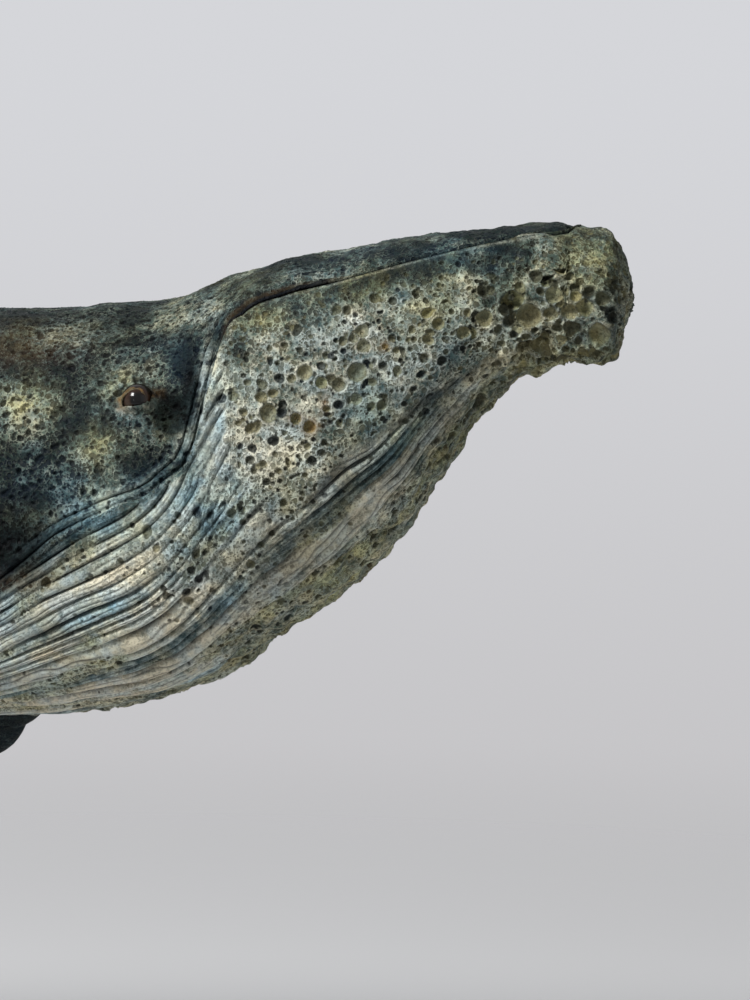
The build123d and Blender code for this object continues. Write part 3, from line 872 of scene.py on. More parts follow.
def throat_sheet(places, across, closing):
    """Lower casting as a grid. Each row is the part of the jaw's section below the mouth: from the keel, the
    angle runs to the lip on both sides. A run across the floor of the mouth closes the row."""
    back, belly, half, widest = jaw_stations(places)
    turn = across[None, :] * throat_limit(places)[:, None]
    y = half[:, None] * bent(np.sin(turn))
    up = -bent(np.cos(turn))
    z = widest[:, None] + np.where(up > 0, up * (back - widest)[:, None], up * (widest - belly)[:, None])
    wall = np.clip(y[:, -1:] * sizes().half_width / MM, 0.0, 1.0) * MOUTH_FLOOR_SHARE
    floor_y = y[:, -1:] * closing[None, :]
    floor_z = np.repeat(z[:, -1:] - wall, len(closing), axis=1)
    return finish_sheet(places, np.hstack([y, floor_y]), np.hstack([z, floor_z]))


def strand_share(places, across):
    """Share of the way from lip to keel that the pleats follow: the lip's angle is evened out along the body
    by a bell, so that the pleats bend gently below the corner of the mouth."""
    limit = throat_limit(places)
    even = np.linspace(places[0], places[-1], 400)
    angles = np.interp(even, places, limit)
    weights = bell(even[:, None], even[None, :], STRAND_EVEN_SHARE)
    smoothed = np.interp(places, even, weights @ angles / weights.sum(axis=1))
    return 1.0 - np.abs(across[None, :] * limit[:, None]) / np.maximum(smoothed, 0.05)[:, None]


def finish_sheet(places, y, z):
    """Grid of points in millimetres from shares."""
    x = np.repeat(place_to_x(places)[:, None], y.shape[1], axis=1)
    return np.stack([x, y * sizes().half_width / MM, level_to_z(z)], axis=2)


def sheet_normals(grid):
    """Unit normals of a grid that closes on itself across its rows, from the cross product of its two runs.
    A row that is shrunk to a point takes the mean normal of the row beside it."""
    along = np.gradient(grid, axis=0)
    round_about = np.roll(grid, -1, axis=1) - np.roll(grid, 1, axis=1)
    normal = np.cross(along, round_about)
    middle = grid.mean(axis=1, keepdims=True)
    outward = np.sign((normal * (grid - middle)).sum(axis=(1, 2), keepdims=True))
    normal = normal * np.where(outward == 0, 1.0, outward)
    size = np.linalg.norm(normal, axis=2, keepdims=True)
    normal = normal / np.maximum(size, 1e-9)
    for end, beside in ((0, 1), (-1, -2)):
        if np.ptp(grid[end], axis=0).max() < TINY:
            mean = normal[beside].mean(axis=0)
            normal[end] = mean / np.linalg.norm(mean)
    return normal


# Relief of the skins


def skin_texture(points, across, down, layers):
    """Pits, unevenness and paint patches shared by all the skins. Each layer of pits has its cell, its
    smallest and largest radius and how likely a pit is at each point. Returns the height in millimetres and
    the marks."""
    relief = bpy.context.scene.whale_relief
    seed = relief.seed
    marks = {name: np.zeros(len(points)) for name in MARKS}
    height = relief.lump_height / MM * (0.6 * lumps(points, 6.5, seed) + 0.4 * lumps(points, 2.4, seed + 1))
    sway = np.stack([lumps(points, 1.3, seed + axis) for axis in (11, 12, 13)], axis=1)
    frayed = points + 0.22 * sway
    deep, pit, rim, tone = placed_pits(across + 0.0016 * sway[:, 0], down + 0.0016 * sway[:, 2])
    free = 1.0 - step(deep, 0.0, 0.2)
    height = height * (0.3 + 0.7 * free) - 0.9 * relief.pit_depth * deep + 0.12 * rim
    for index, (cell, small, large, fill) in enumerate(layers):
        depth, mask, edge, mark = pits(frayed, cell, small, large, fill * free, seed + 20 * index)
        size = np.clip(large / 1.6, 0.0, 1.0)
        height = height - relief.pit_depth * depth + (0.04 + 0.06 * size) * edge
        # Smaller pits get darker floors: dark wash, and painted shade for pits too small to shade
        # themselves.
        tone = np.where(mask > pit, mark * (0.25 + 0.65 * size), tone)
        pit = np.maximum(pit, mask)
        rim = np.maximum(rim, edge * (0.45 + 0.55 * size))
    marks.update(pit=pit, rim=np.where(pit > 0.05, 0.0, rim), tone=tone)
    # Patches of each kind; those of the darkening kind are painted shade.
    for kind in ("pale", "ochre", "blue", "rust", "soot"):
        marks[kind] = patch(kind, across, down)
    return height, marks


def eye_spot():
    """Centre of the right eye's bead in the side view, from the solid, in millimetres."""
    low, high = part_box("eye_right")
    middle = (low + high) / 2 / MM
    return middle.x, middle.z


def back_relief(points, lip):
    """Height and marks of the upper casting: dense small pits, the edge of the mouth, the eyes, and the
    ridges and knobs on top. lip is the distance to the mouth."""
    from_chin = chin_x() - points[:, 0]
    across, down = stencil(points)
    cheek = step(from_chin, *CHEEK_MM)
    head = fade(from_chin, *HEAD_END_MM)
    layers = (
        (1.05, 0.24, 0.54, 0.25 + 0.60 * cheek * head),
        (0.76, 0.18, 0.32, 0.45 + 0.35 * cheek),
    )
    height, marks = skin_texture(points, across, down, layers)
    marks["tone"] *= 0.12
    marks["rim"] *= 0.25
    marks["ochre"] += 0.35 * step(lumps(points, 7.0, 51), 0.05, 0.7) * (0.7 + 0.3 * cheek)
    marks["blue"] += 0.06 + 0.25 * step(lumps(points, 10.0, 53), 0.0, 0.8)
    stained = np.clip(marks["ochre"], 0.0, 1.0)
    marks["pale"] += 0.10 + 0.26 * lumps(points, 5.0, 52) + 0.42 * stained + 0.15 * cheek * head
    marks["pale"] += (1.0 - cheek) * (0.20 * step(from_chin, 14.0, 34.0) - 0.02)
    height = height * (0.55 + 0.45 * cheek)
    height = upper_lip(points, lip, across, head, height, marks)
    height = eye_relief(points, height, marks)
    return crown_relief(points, cheek, height, marks), marks


def upper_lip(points, lip, across, head, height, marks):
    """Edge of the mouth on the upper casting: a line along the lip, deeper and darkened with painted shade
    in the gap before the corner, and behind the corner filler over the seam with a fringe of threads.
    Changes the marks and returns the changed height."""
    from_chin = chin_x() - points[:, 0]
    shut = step(from_chin, *CORNER_MM)
    front = step(from_chin, 9.0, 13.0) * (1.0 - shut)
    gap = between(across, 0.215, 0.235, 0.310, 0.350) * (1.0 - shut)
    line = bell(lip, 0.0, 0.28) * front
    height = height * step(lip, 0.0, 0.7) - (0.12 + 0.30 * gap) * line + shut * seam_bulge(points, lip)
    marks["groove"] = (0.40 + 0.45 * gap) * line
    # Painted shade in the gap of the mouth before the corner.
    marks["soot"] += 0.85 * gap * fade(lip, 0.6, 1.7)
    marks["rust"] += 0.45 * gap * fade(lip, 0.7, 1.5)
    meet = shut * bell(lip, 0.0, 2.4) * head
    marks["blue"] += 0.5 * meet
    marks["pale"] += 0.34 * meet
    fringe = shut * between(lip, 0.1, 1.0, 1.2, 3.6) * head
    return pleats(points, from_chin, -lip / 1.5, fringe, 0.72, height, marks)


def crown_relief(points, cheek, height, marks):
    """Ridge before the blowholes, their two slits, the rows of knobs on the rostrum and a fall of all the
    relief towards the tail. Changes the marks and returns the changed height."""
    x, y, z = points.T
    from_chin = chin_x() - x
    guard = bell(from_chin, BLOWHOLE_MM, 4.0) * bell(y, 0.0, 6.0)
    slit = bell(np.abs(y) - 0.18 * (from_chin - BLOWHOLE_MM), 1.2, 0.5) * bell(from_chin, 62.5, 3.0)
    height = height + 0.8 * guard - 1.0 * slit
    at_least(marks, "groove", 0.9 * slit)
    phase = np.abs((from_chin / KNOB_STEP_MM) % 1.0 - 0.5) * 2.0
    rows = bell(y, 0.0, 1.1) + bell(np.abs(y) - (2.2 + 0.13 * from_chin), 0.0, 1.0)
    knobs = rows * step(1.0 - phase, 0.35, 1.0) * between(from_chin, 16.0, 20.0, 46.0, 50.0)
    crest = step(z - level_to_z(0.0), 45.0, 55.0) * (1.0 - cheek)
    height = height + crest * (0.20 * knobs + 0.22 * lumps(points, 1.3, 55) - 0.45)
    return height * (1.0 - 0.35 * step(from_chin, 200.0, 262.0))


def seam_bulge(points, lip):
    """Filler over the seam behind the corner of the mouth: a low uneven bead, the same on both skins."""
    return bell(lip, 0.0, 0.6) * (0.16 + 0.16 * lumps(points, 3.0, 77))


def eye_relief(points, height, marks):
    """Lids, tear duct and pocket round both eyes, by the distance from the bead in an uneven ellipse that
    is tilted a little. The lids follow the bead's ball a little above it. Changes the marks and returns
    the changed height."""
    x, y, z = points.T
    eye_x, eye_z = eye_spot()
    tilt = math.radians(8.0)
    ahead = (x - eye_x) * math.cos(tilt) + (z - eye_z) * math.sin(tilt)
    over = (z - eye_z) * math.cos(tilt) - (x - eye_x) * math.sin(tilt)
    side = step(np.abs(y), 8.0, 14.0)
    ring = np.sqrt((ahead / 1.58) ** 2 + ((over + 0.18) / 0.90) ** 2) * (1.0 + 0.16 * lumps(points, 0.9, 57))
    upper = step(over, -0.5, 0.4)
    calm = side * fade(ring, 1.6, 2.2)
    radius = sizes().eye_radius / MM
    ball = np.sqrt(np.clip(radius**2 - ahead**2 - over**2, 0.0, None)) - sizes().eye_sunk / MM
    lids = step(ring, 0.93, 1.10) * side
    cover = np.clip(ball + 0.20 + 0.12 * upper, 0.0, None) * lids
    lid = bell(ring, 1.38, 0.34) * side * (0.8 + 0.4 * lumps(points, 0.7, 54))
    crease = bell(ring, 2.05, 0.18) * upper * side
    duct = bell(over + 0.05 * ahead, 0.75, 0.45) * between(ahead, 1.2, 1.8, 3.6, 4.6) * side
    pocket = bell(ahead, 4.6, 2.4) * bell(over, -2.4, 2.5) * side
    within = (1.0 - lids) * side * fade(ring, 1.0, 1.2)
    height = height * (1.0 - 0.8 * calm) + cover + 0.24 * lid + 0.12 * calm * lumps(points, 0.55, 49)
    height = height - 0.30 * crease - 0.30 * duct - 1.3 * pocket - 1.2 * within
    marks["pit"] *= 1.0 - calm
    marks["rim"] *= 1.0 - calm
    at_least(marks, "groove", np.maximum(0.6 * crease, 0.95 * within))
    at_least(marks, "smooth", 0.45 * calm)
    marks["rust"] += 0.95 * lid * step(over - 0.4 * ahead, -0.9, 0.2) + 0.9 * duct
    # Painted shade in the pocket and the duct, and round the lids.
    marks["soot"] += 0.45 * duct + 0.90 * step(pocket, 0.08, 0.7)
    marks["soot"] += 0.60 * lid * (1.0 + lumps(points, 0.6, 50))
    marks["pale"] += 0.22 * lid * (1.0 - upper)
    marks["pink"] += 0.60 * lid * (1.0 - upper)
    marks["ochre"] += 0.5 * pocket
    return height


def throat_zones(points, lip, strand, keel):
    """Parts of the lower casting as masks from 0 to 1: the pleats, the chin, its smoother brow, the band
    by the lip, the crumbled underside, the fan of long strands, the porous strips and the plain strands.
    below is the distance under the upper edge of the pleats, and away the distance to the mouth, more
    ahead of its tip."""
    x = points[:, 0]
    from_chin = chin_x() - x
    across, down = stencil(points)
    zone = SimpleNamespace(from_chin=from_chin, across=across, down=down)
    edge = np.array(PLEAT_EDGE_SHARES)
    outline = np.array(OUTLINE_SHARES)
    zone.below = np.sign(down - np.interp(across, *edge.T)) * line_distance(across, down, edge)
    inside = np.interp(across, *outline.T) - down
    tip = place_to_x(MOUTH_SHARES[0][0])
    zone.away = lip + 20.0 * step(x, tip - 4.0, tip + 4.0)
    zone.pleated = step(zone.below, -0.010, 0.012) * step(from_chin, 11.0, 18.0) * step(lip, 0.1, 1.0)
    zone.chin = fade(from_chin, 16.0, 25.0)
    zone.band = fade(zone.away, 3.5, 6.5)
    zone.brow = zone.chin * fade(down, 0.250, 0.275)
    low_edge = fade(inside, 0.016, 0.058) * step(across, 0.18, 0.26)
    zone.under = np.maximum(step(keel, 0.80, 0.95), low_edge)
    zone.fan = spot(across, down, *FAN_SHARES)
    knotty = np.zeros(len(across))
    for knot in KNOT_SHARES:
        knotty = np.maximum(knotty, spot(across, down, *knot))
    lanes = np.stack([from_chin / 8.0, strand / 1.7, np.zeros(len(strand))], axis=1)
    strips = step(lumps(lanes, 1.0, 75), 0.10, 0.45)
    zone.porous = strips * zone.pleated * (1.0 - 0.9 * zone.fan)
    zone.plain = zone.pleated * (1.0 - 0.80 * knotty) * (1.0 - 0.8 * zone.under)
    zone.plain = zone.plain * (1.0 - 0.75 * zone.porous)
    return zone


def throat_relief(points, lip, strand, keel):
    """Height and marks of the lower casting: large pits on the chin, middle ones on the jaw and small
    ones by the lip; below them pleats, which are rounded strands between narrow grooves, with pitted
    knots and strips among them. lip is the distance to the mouth, strand counts the pleats from the lip
    and keel is the share of the way from lip to keel."""
    zone = throat_zones(points, lip, strand, keel)
    chin = zone.chin
    under = zone.under
    bare = 1.0 - zone.plain
    layers = (
        (2.8, 0.7, 1.7, 0.80 * chin * (1.0 - zone.band) * step(zone.down, 0.255, 0.285)),
        (2.0, 0.5, 1.1, 0.45 * under * (1.0 - chin)),
        (1.6, 0.35, 0.85, bare * (0.60 - 0.4 * zone.band) * (1.0 - 0.6 * zone.brow)),
        (1.0, 0.22, 0.45, 0.08 + 0.80 * bare),
    )
    height, marks = skin_texture(points, zone.across, zone.down, layers)
    marks["tone"] *= 1.0 - 0.7 * under * (1.0 - chin)
    marks["rim"] *= 1.0 - 0.4 * chin
    rugged = 0.45 * lumps(points, 3.0, 60) + 0.40 * lumps(points, 1.5, 58)
    crumbled = 1.3 * rugged + 0.45 * lumps(points, 4.5, 59)
    height = height + chin * (rugged - 0.35) + under * (1.0 - 0.5 * chin) * crumbled
    height = height + 0.25 * chin * (1.0 - 0.8 * zone.brow) * lumps(points, 0.8, 56)
    height = height - 1.4 * spot(zone.across, zone.down, *DENT_SHARES)
    height = height - 0.7 * step(zone.across, 0.612, 0.636) * chin
    height = pleats(points, zone.from_chin, strand, zone.plain, 0.72 + 0.25 * zone.fan, height, marks)
    seam = bell(zone.below, 0.004, 0.005) * between(zone.across, 0.29, 0.34, 0.47, 0.51)
    seam = seam * (0.6 + 0.5 * lumps(points, 4.0, 76))
    height = height - 0.45 * seam
    at_least(marks, "groove", 0.85 * seam)
    throat_paint(points, lip, zone, marks)
    return lower_lip(points, lip, zone, height, marks), marks


def throat_paint(points, lip, zone, marks):
    """Washes of the lower casting: a dark blue dusk along the middle of the lip and a darker ochre band
    towards the corner, both with a little painted shade, ochre on the crumbled and porous ground, blue above
    it and spots of rust below. Changes the marks."""
    under = zone.under
    ragged = lip + 1.6 * lumps(points, 1.8, 79) + 1.2 * lumps(points, 4.0, 80)
    dusk = fade(ragged, 1.2, 5.2) * between(zone.across, 0.30, 0.42, 0.48, 0.57)
    shaded = fade(lip, 1.0, 5.5) * between(zone.across, 0.225, 0.245, 0.38, 0.50)
    pale = 0.60 + 0.14 * lumps(points, 6.0, 69) + 0.16 * lumps(points, 2.5, 70)
    marks["pale"] += pale - 0.22 * dusk - 0.22 * shaded + 0.04 * under - 0.10 * zone.chin
    marks["pale"] += 0.17 * zone.pleated * (1.0 - under)
    marks["ochre"] += 0.30 * step(lumps(points, 5.0, 71), 0.1, 0.8) + 0.45 * under
    marks["ochre"] += 0.20 * zone.chin + 0.35 * shaded
    marks["ochre"] = marks["ochre"] * (1.0 - 0.6 * zone.plain) + 0.35 * zone.porous
    marks["blue"] += 0.40 * step(lumps(points, 6.0, 72), -0.1, 0.6) * (1.0 - under) + 0.5 * dusk
    marks["blue"] *= 1.0 - 0.6 * zone.chin
    # Painted shade: a little in the dusk and in the band towards the corner.
    marks["soot"] += 0.15 * dusk + 0.10 * shaded
    marks["rust"] += 0.25 * under * step(lumps(points, 3.0, 73), 0.3, 0.8)


def lower_lip(points, lip, zone, height, marks):
    """Edge of the mouth on the lower casting: a low roll along the lip with a painted highlight on its edge,
    and filler over the seam behind the corner. Changes the marks and returns the changed height."""
    shut = step(zone.from_chin, *CORNER_MM)
    front = step(zone.from_chin, 8.0, 12.0) * (1.0 - shut)
    height = height * step(zone.away, 0.0, 0.7) + 0.12 * front * bell(zone.away, 0.8, 0.5)
    height = height + shut * seam_bulge(points, lip)
    # Painted highlight: a pale line along the lip's edge, where it catches the light.
    brushed = bell(zone.away, 0.24, 0.16) * between(zone.from_chin, 8.0, 14.0, 40.0, 52.0)
    at_least(marks, "wear", 0.45 * brushed)
    meet = shut * bell(lip, 0.0, 2.4) * step(zone.down, 0.42, 0.50)
    marks["pale"] -= 0.24 * meet
    marks["blue"] += 0.4 * meet
    return height


def pleats(points, from_chin, strand, plain, threads, height, marks):
    """Strands of uneven width that follow the strand number, swayed by noise: rounded crowns, narrow grooves
    that come and go along each strand, and fine threads. plain is how much of a strand each point is, and
    threads how strong the fine threads are. Changes the marks and returns the changed height."""
    relief = bpy.context.scene.whale_relief
    still = np.zeros(len(strand))
    uneven = lumps(np.stack([strand, still, still], axis=1), 2.3, 63)
    phase = strand + 0.60 * uneven + 0.50 * lumps(points, 14.0, 61) + 0.15 * lumps(points, 4.6, 62)
    number = np.round(phase)
    off = np.abs(phase - number)
    lane = np.stack([from_chin, 17.3 * number, 9.1 * number], axis=1)
    cover = step(lumps(lane, 12.0, 64), -0.7, 0.0)
    width = 0.11 + 0.07 * lumps(lane, 15.0, 65)
    cut = bell(off, 0.0, width) * cover * plain
    crown = step(off, 0.0, 0.36) * plain
    fine = np.abs((phase * 2.8 + 0.45 * lumps(points, 3.0, 66)) % 1.0 - 0.5) * 2.0
    thread = bell(fine, 1.0, 0.28) * plain * step(lumps(points, 5.0, 67), -0.5, 0.2)
    depth = relief.groove_depth / MM * step(from_chin, 8.0, 30.0)
    height = height * (1.0 - 0.45 * plain) + depth * (0.5 * crown - 0.9 * cut - 0.30 * threads * thread)
    hue = cell_numbers(np.stack([np.floor(phase).astype(np.int64)] * 3, axis=1), 68)
    marks["pit"] *= 1.0 - 0.4 * plain
    marks["rim"] *= 1.0 - 0.7 * plain
    at_least(marks, "groove", np.maximum(cut, threads * thread))
    at_least(marks, "smooth", 0.60 * plain)
    worn = step(crown, 0.50, 1.0) * step(hue, 0.15, 0.75) * (0.6 + 0.4 * lumps(points, 2.2, 74))
    at_least(marks, "wear", worn)
    marks["pale"] += plain * (0.40 * (hue - 0.45) + 0.12)
    marks["blue"] += plain * 0.65 * step(0.50 - hue, -0.1, 0.2)
    marks["pink"] += plain * 0.45 * between(hue, 0.62, 0.72, 0.82, 0.88)
    return height


# Meshes


def grid_faces(rows, count):
    """Corner numbers of the quads of a grid that closes on itself across its rows."""
    row, column = np.meshgrid(np.arange(rows - 1), np.arange(count), indexing="ij")
    after = (column + 1) % count
    here = row * count
    ahead = here + count
    quads = np.stack([here + column, here + after, ahead + after, ahead + column])
    return quads.reshape(4, -1).T


def closed_mesh(name, grid, marks, count):
    """Mesh of a closed tube of rows: the rows' quads, and a fan to a middle point at each end. Only the
    first count columns are shaded smooth. marks are grids of values by name, which go four to an
    attribute."""
    rows, width, _ = grid.shape
    ends = np.stack([grid[0].mean(axis=0), grid[-1].mean(axis=0)])
    points = np.vstack([grid.reshape(-1, 3), ends])
    quads = grid_faces(rows, width)
    smooth = np.tile(np.arange(width) < (count if count == width else count - 1), rows - 1)
    ring = np.arange(width)
    after = (ring + 1) % width
    first = np.stack([np.full(width, rows * width), after, ring], axis=1)
    base = (rows - 1) * width
    last = np.stack([np.full(width, rows * width + 1), base + ring, base + after], axis=1)
    if not facing(grid):
        quads = quads[:, ::-1]
        first = first[:, ::-1]
        last = last[:, ::-1]
    fans = np.vstack([first, last])
    mesh = bpy.data.meshes.new(name)
    mesh.vertices.add(len(points))
    mesh.vertices.foreach_set("co", (points * MM).ravel())
    corners = np.concatenate([quads.ravel(), fans.ravel()])
    mesh.loops.add(len(corners))
    mesh.loops.foreach_set("vertex_index", corners)
    starts = np.concatenate([np.arange(len(quads)) * 4, len(quads) * 4 + np.arange(len(fans)) * 3])
    mesh.polygons.add(len(starts))
    mesh.polygons.foreach_set("loop_start", starts)
    mesh.polygons.foreach_set("use_smooth", np.concatenate([smooth, np.zeros(len(fans), dtype=bool)]))
    for attribute, names in ATTRIBUTES.items():
        values = np.clip(np.stack([marks[mark] for mark in names], axis=2), 0.0, 1.0)
        layer = mesh.attributes.new(attribute, "FLOAT_COLOR", "POINT")
        full = np.vstack([values.reshape(-1, 4), values[[0, -1]].mean(axis=1)])
        layer.data.foreach_set("color", full.ravel())
    mesh.update(calc_edges=True)
    mesh.validate()
    return mesh


def place_piece(name, mesh, material, nodes):
    """Object for a finished mesh, riding on the figure and standing for its solids."""
    piece = bpy.data.objects.new(name, mesh)
    bpy.context.scene.collection.objects.link(piece)
    piece.data.materials.append(material)
    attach(piece, "figure")
    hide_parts(*nodes)


def raise_sheet(grid, count, measure):
    """Pushes a grid out along its normals by a relief, which only the first count columns have; the other
    columns move with the edges that they join. measure turns the points into heights and marks. Returns the
    new grid and grids of the marks."""
    rows = grid.shape[0]
    normals = sheet_normals(grid)
    height, marks = measure(grid[:, :count].reshape(-1, 3))
    full = np.zeros(grid.shape[:2])
    full[:, :count] = height.reshape(rows, count)
    wide = {}
    for name, values in marks.items():
        wide[name] = np.zeros(grid.shape[:2])
        wide[name][:, :count] = values.reshape(rows, count)
    # The closing columns inside the mouth are painted dark: painted shade there.
    wide["groove"][:, count:] = 0.9
    moved = normals * full[:, :, None]
    share = np.linspace(1.0, 0.0, grid.shape[1] - count + 2)[None, 1:-1, None]
    moved[:, count:] = share * moved[:, count - 1 : count] + (1.0 - share) * moved[:, :1]
    return grid + moved, wide


def split_skin(grid, marks, count, cuts, names, node):
    """Pieces of one skin that share the rows at the cuts, so that each stays a closed mesh of fair size."""
    edges = [0] + list(cuts) + [grid.shape[0] - 1]
    for name, low, high in zip(names, edges[:-1], edges[1:]):
        part = {mark: values[low : high + 1] for mark, values in marks.items()}
        mesh = closed_mesh(name, grid[low : high + 1], part, count)
        place_piece(name, mesh, skin_material(), [node])


def facing(grid):
    """True if a closed grid's quads already face outwards, from the sign of its enclosed volume."""
    a = grid[:-1]
    b = np.roll(grid, -1, axis=1)[:-1]
    c = np.roll(grid, -1, axis=1)[1:]
    middle = grid.mean(axis=(0, 1))
    return (np.cross(a - middle, b - middle) * (c - middle)).sum() > 0


# Materials


def add(tree, kind, **settings):
    """New node with its settings."""
    node = tree.nodes.new(kind)
    for key, value in settings.items():
        setattr(node, key, value)
    return node


def feed(tree, socket, value):
    """Links a socket to another, or sets its value."""
    if isinstance(value, bpy.types.NodeSocket):
        tree.links.new(value, socket)
    else:
        socket.default_value = value


def blend(tree, factor, first, second, kind="MIX"):
    """Mix of two colours."""
    node = add(tree, "ShaderNodeMix", data_type="RGBA", blend_type=kind, clamp_factor=True)
    feed(tree, node.inputs[0], factor)
    feed(tree, node.inputs[6], first)
    feed(tree, node.inputs[7], second)
    return node.outputs[2]


def sum_of(tree, operation, first, second=0.0, third=0.0, clamp=False):
    """Arithmetic on two or three values."""
    node = add(tree, "ShaderNodeMath", operation=operation, use_clamp=clamp)
    for socket, value in zip(node.inputs, (first, second, third)):
        feed(tree, socket, value)
    return node.outputs[0]


def times(tree, *values):
    """Product of values."""
    product = values[0]
    for value in values[1:]:
        product = sum_of(tree, "MULTIPLY", product, value)
    return product


def vector_sum(tree, operation, *vectors):
    """Arithmetic on vectors; returns the node, whose output depends on the operation."""
    node = add(tree, "ShaderNodeVectorMath", operation=operation)
    for socket, value in zip(node.inputs, vectors):
        feed(tree, socket, value)
    return node


def glazed(tree, colour, glaze):
    """Colour seen through a thin coloured glaze."""
    return blend(tree, 1.0, colour, with_alpha(glaze), "MULTIPLY")


def ramp(tree, value, low, high, out_low=0.0, out_high=1.0):
    """Smooth step of a value between two limits."""
    node = add(tree, "ShaderNodeMapRange", interpolation_type="SMOOTHSTEP")
    feed(tree, node.inputs["Value"], value)
    node.inputs["From Min"].default_value = low
    node.inputs["From Max"].default_value = high
    node.inputs["To Min"].default_value = out_low
    node.inputs["To Max"].default_value = out_high
    return node.outputs["Result"]


def noise(tree, vector, scale, detail=3.0, rough=0.55):
    """Cloudy noise value."""
    node = add(tree, "ShaderNodeTexNoise")
    feed(tree, node.inputs["Vector"], vector)
    node.inputs["Scale"].default_value = scale
    node.inputs["Detail"].default_value = detail
    node.inputs["Roughness"].default_value = rough
    return node.outputs["Fac"]


def with_alpha(colour):
    """Colour with full cover."""
    return (*colour, 1.0)


def new_group(name, inputs, outputs):
    """Empty shader group with sockets of the given names and kinds."""
    group = bpy.data.node_groups.new(name, "ShaderNodeTree")
    for way, sockets in (("INPUT", inputs), ("OUTPUT", outputs)):
        for label, kind in sockets.items():
            group.interface.new_socket(name=label, in_out=way, socket_type="NodeSocket" + kind)
    return group, add(group, "NodeGroupInput"), add(group, "NodeGroupOutput")


def foam_group():
    """Fine foam: round hollows in three sizes of cell, each with a thin lip. The places are shifted a
    little by noise, so that no hollow is quite round. Gives a mask of the hollows, a mask of the lips and
    a height."""
    name = "fine_foam"
    if name in bpy.data.node_groups:
        return bpy.data.node_groups[name]
    given = {"Hollow": "Float", "Wall": "Float", "Height": "Float"}
    group, take, give = new_group(name, {"Scale": "Float"}, given)
    place = add(group, "ShaderNodeTexCoord").outputs["Object"]
    sway = add(group, "ShaderNodeTexNoise")
    feed(group, sway.inputs["Vector"], place)
    sway.inputs["Scale"].default_value = FOAM_SWAY_SCALE
    shift = vector_sum(group, "MULTIPLY_ADD", sway.outputs["Color"], FOAM_SWAY_M, place)
    hollow = 0.0
    wall = 0.0
    for size in FOAM_SIZES:
        cells = voronoi(group, shift.outputs[0], times(group, take.outputs["Scale"], size))
        radius = times(group, channels(group, cells.outputs["Color"])[0], 0.56)
        inside = sum_of(group, "SUBTRACT", radius, cells.outputs["Distance"])
        lip = times(group, ramp(group, inside, -0.18, -0.04), ramp(group, inside, 0.03, -0.03))
        hollow = sum_of(group, "MAXIMUM", hollow, ramp(group, inside, -0.02, 0.10))
        wall = sum_of(group, "MAXIMUM", wall, lip)
    wall = times(group, wall, sum_of(group, "SUBTRACT", 1.0, hollow))
    feed(group, give.inputs["Hollow"], hollow)
    feed(group, give.inputs["Wall"], wall)
    feed(group, give.inputs["Height"], sum_of(group, "SUBTRACT", times(group, wall, 0.25), hollow))
    return group


def voronoi(tree, vector, scale):
    """Cell pattern node."""
    node = add(tree, "ShaderNodeTexVoronoi", feature="F1")
    feed(tree, node.inputs["Vector"], vector)
    feed(tree, node.inputs["Scale"], scale)
    return node


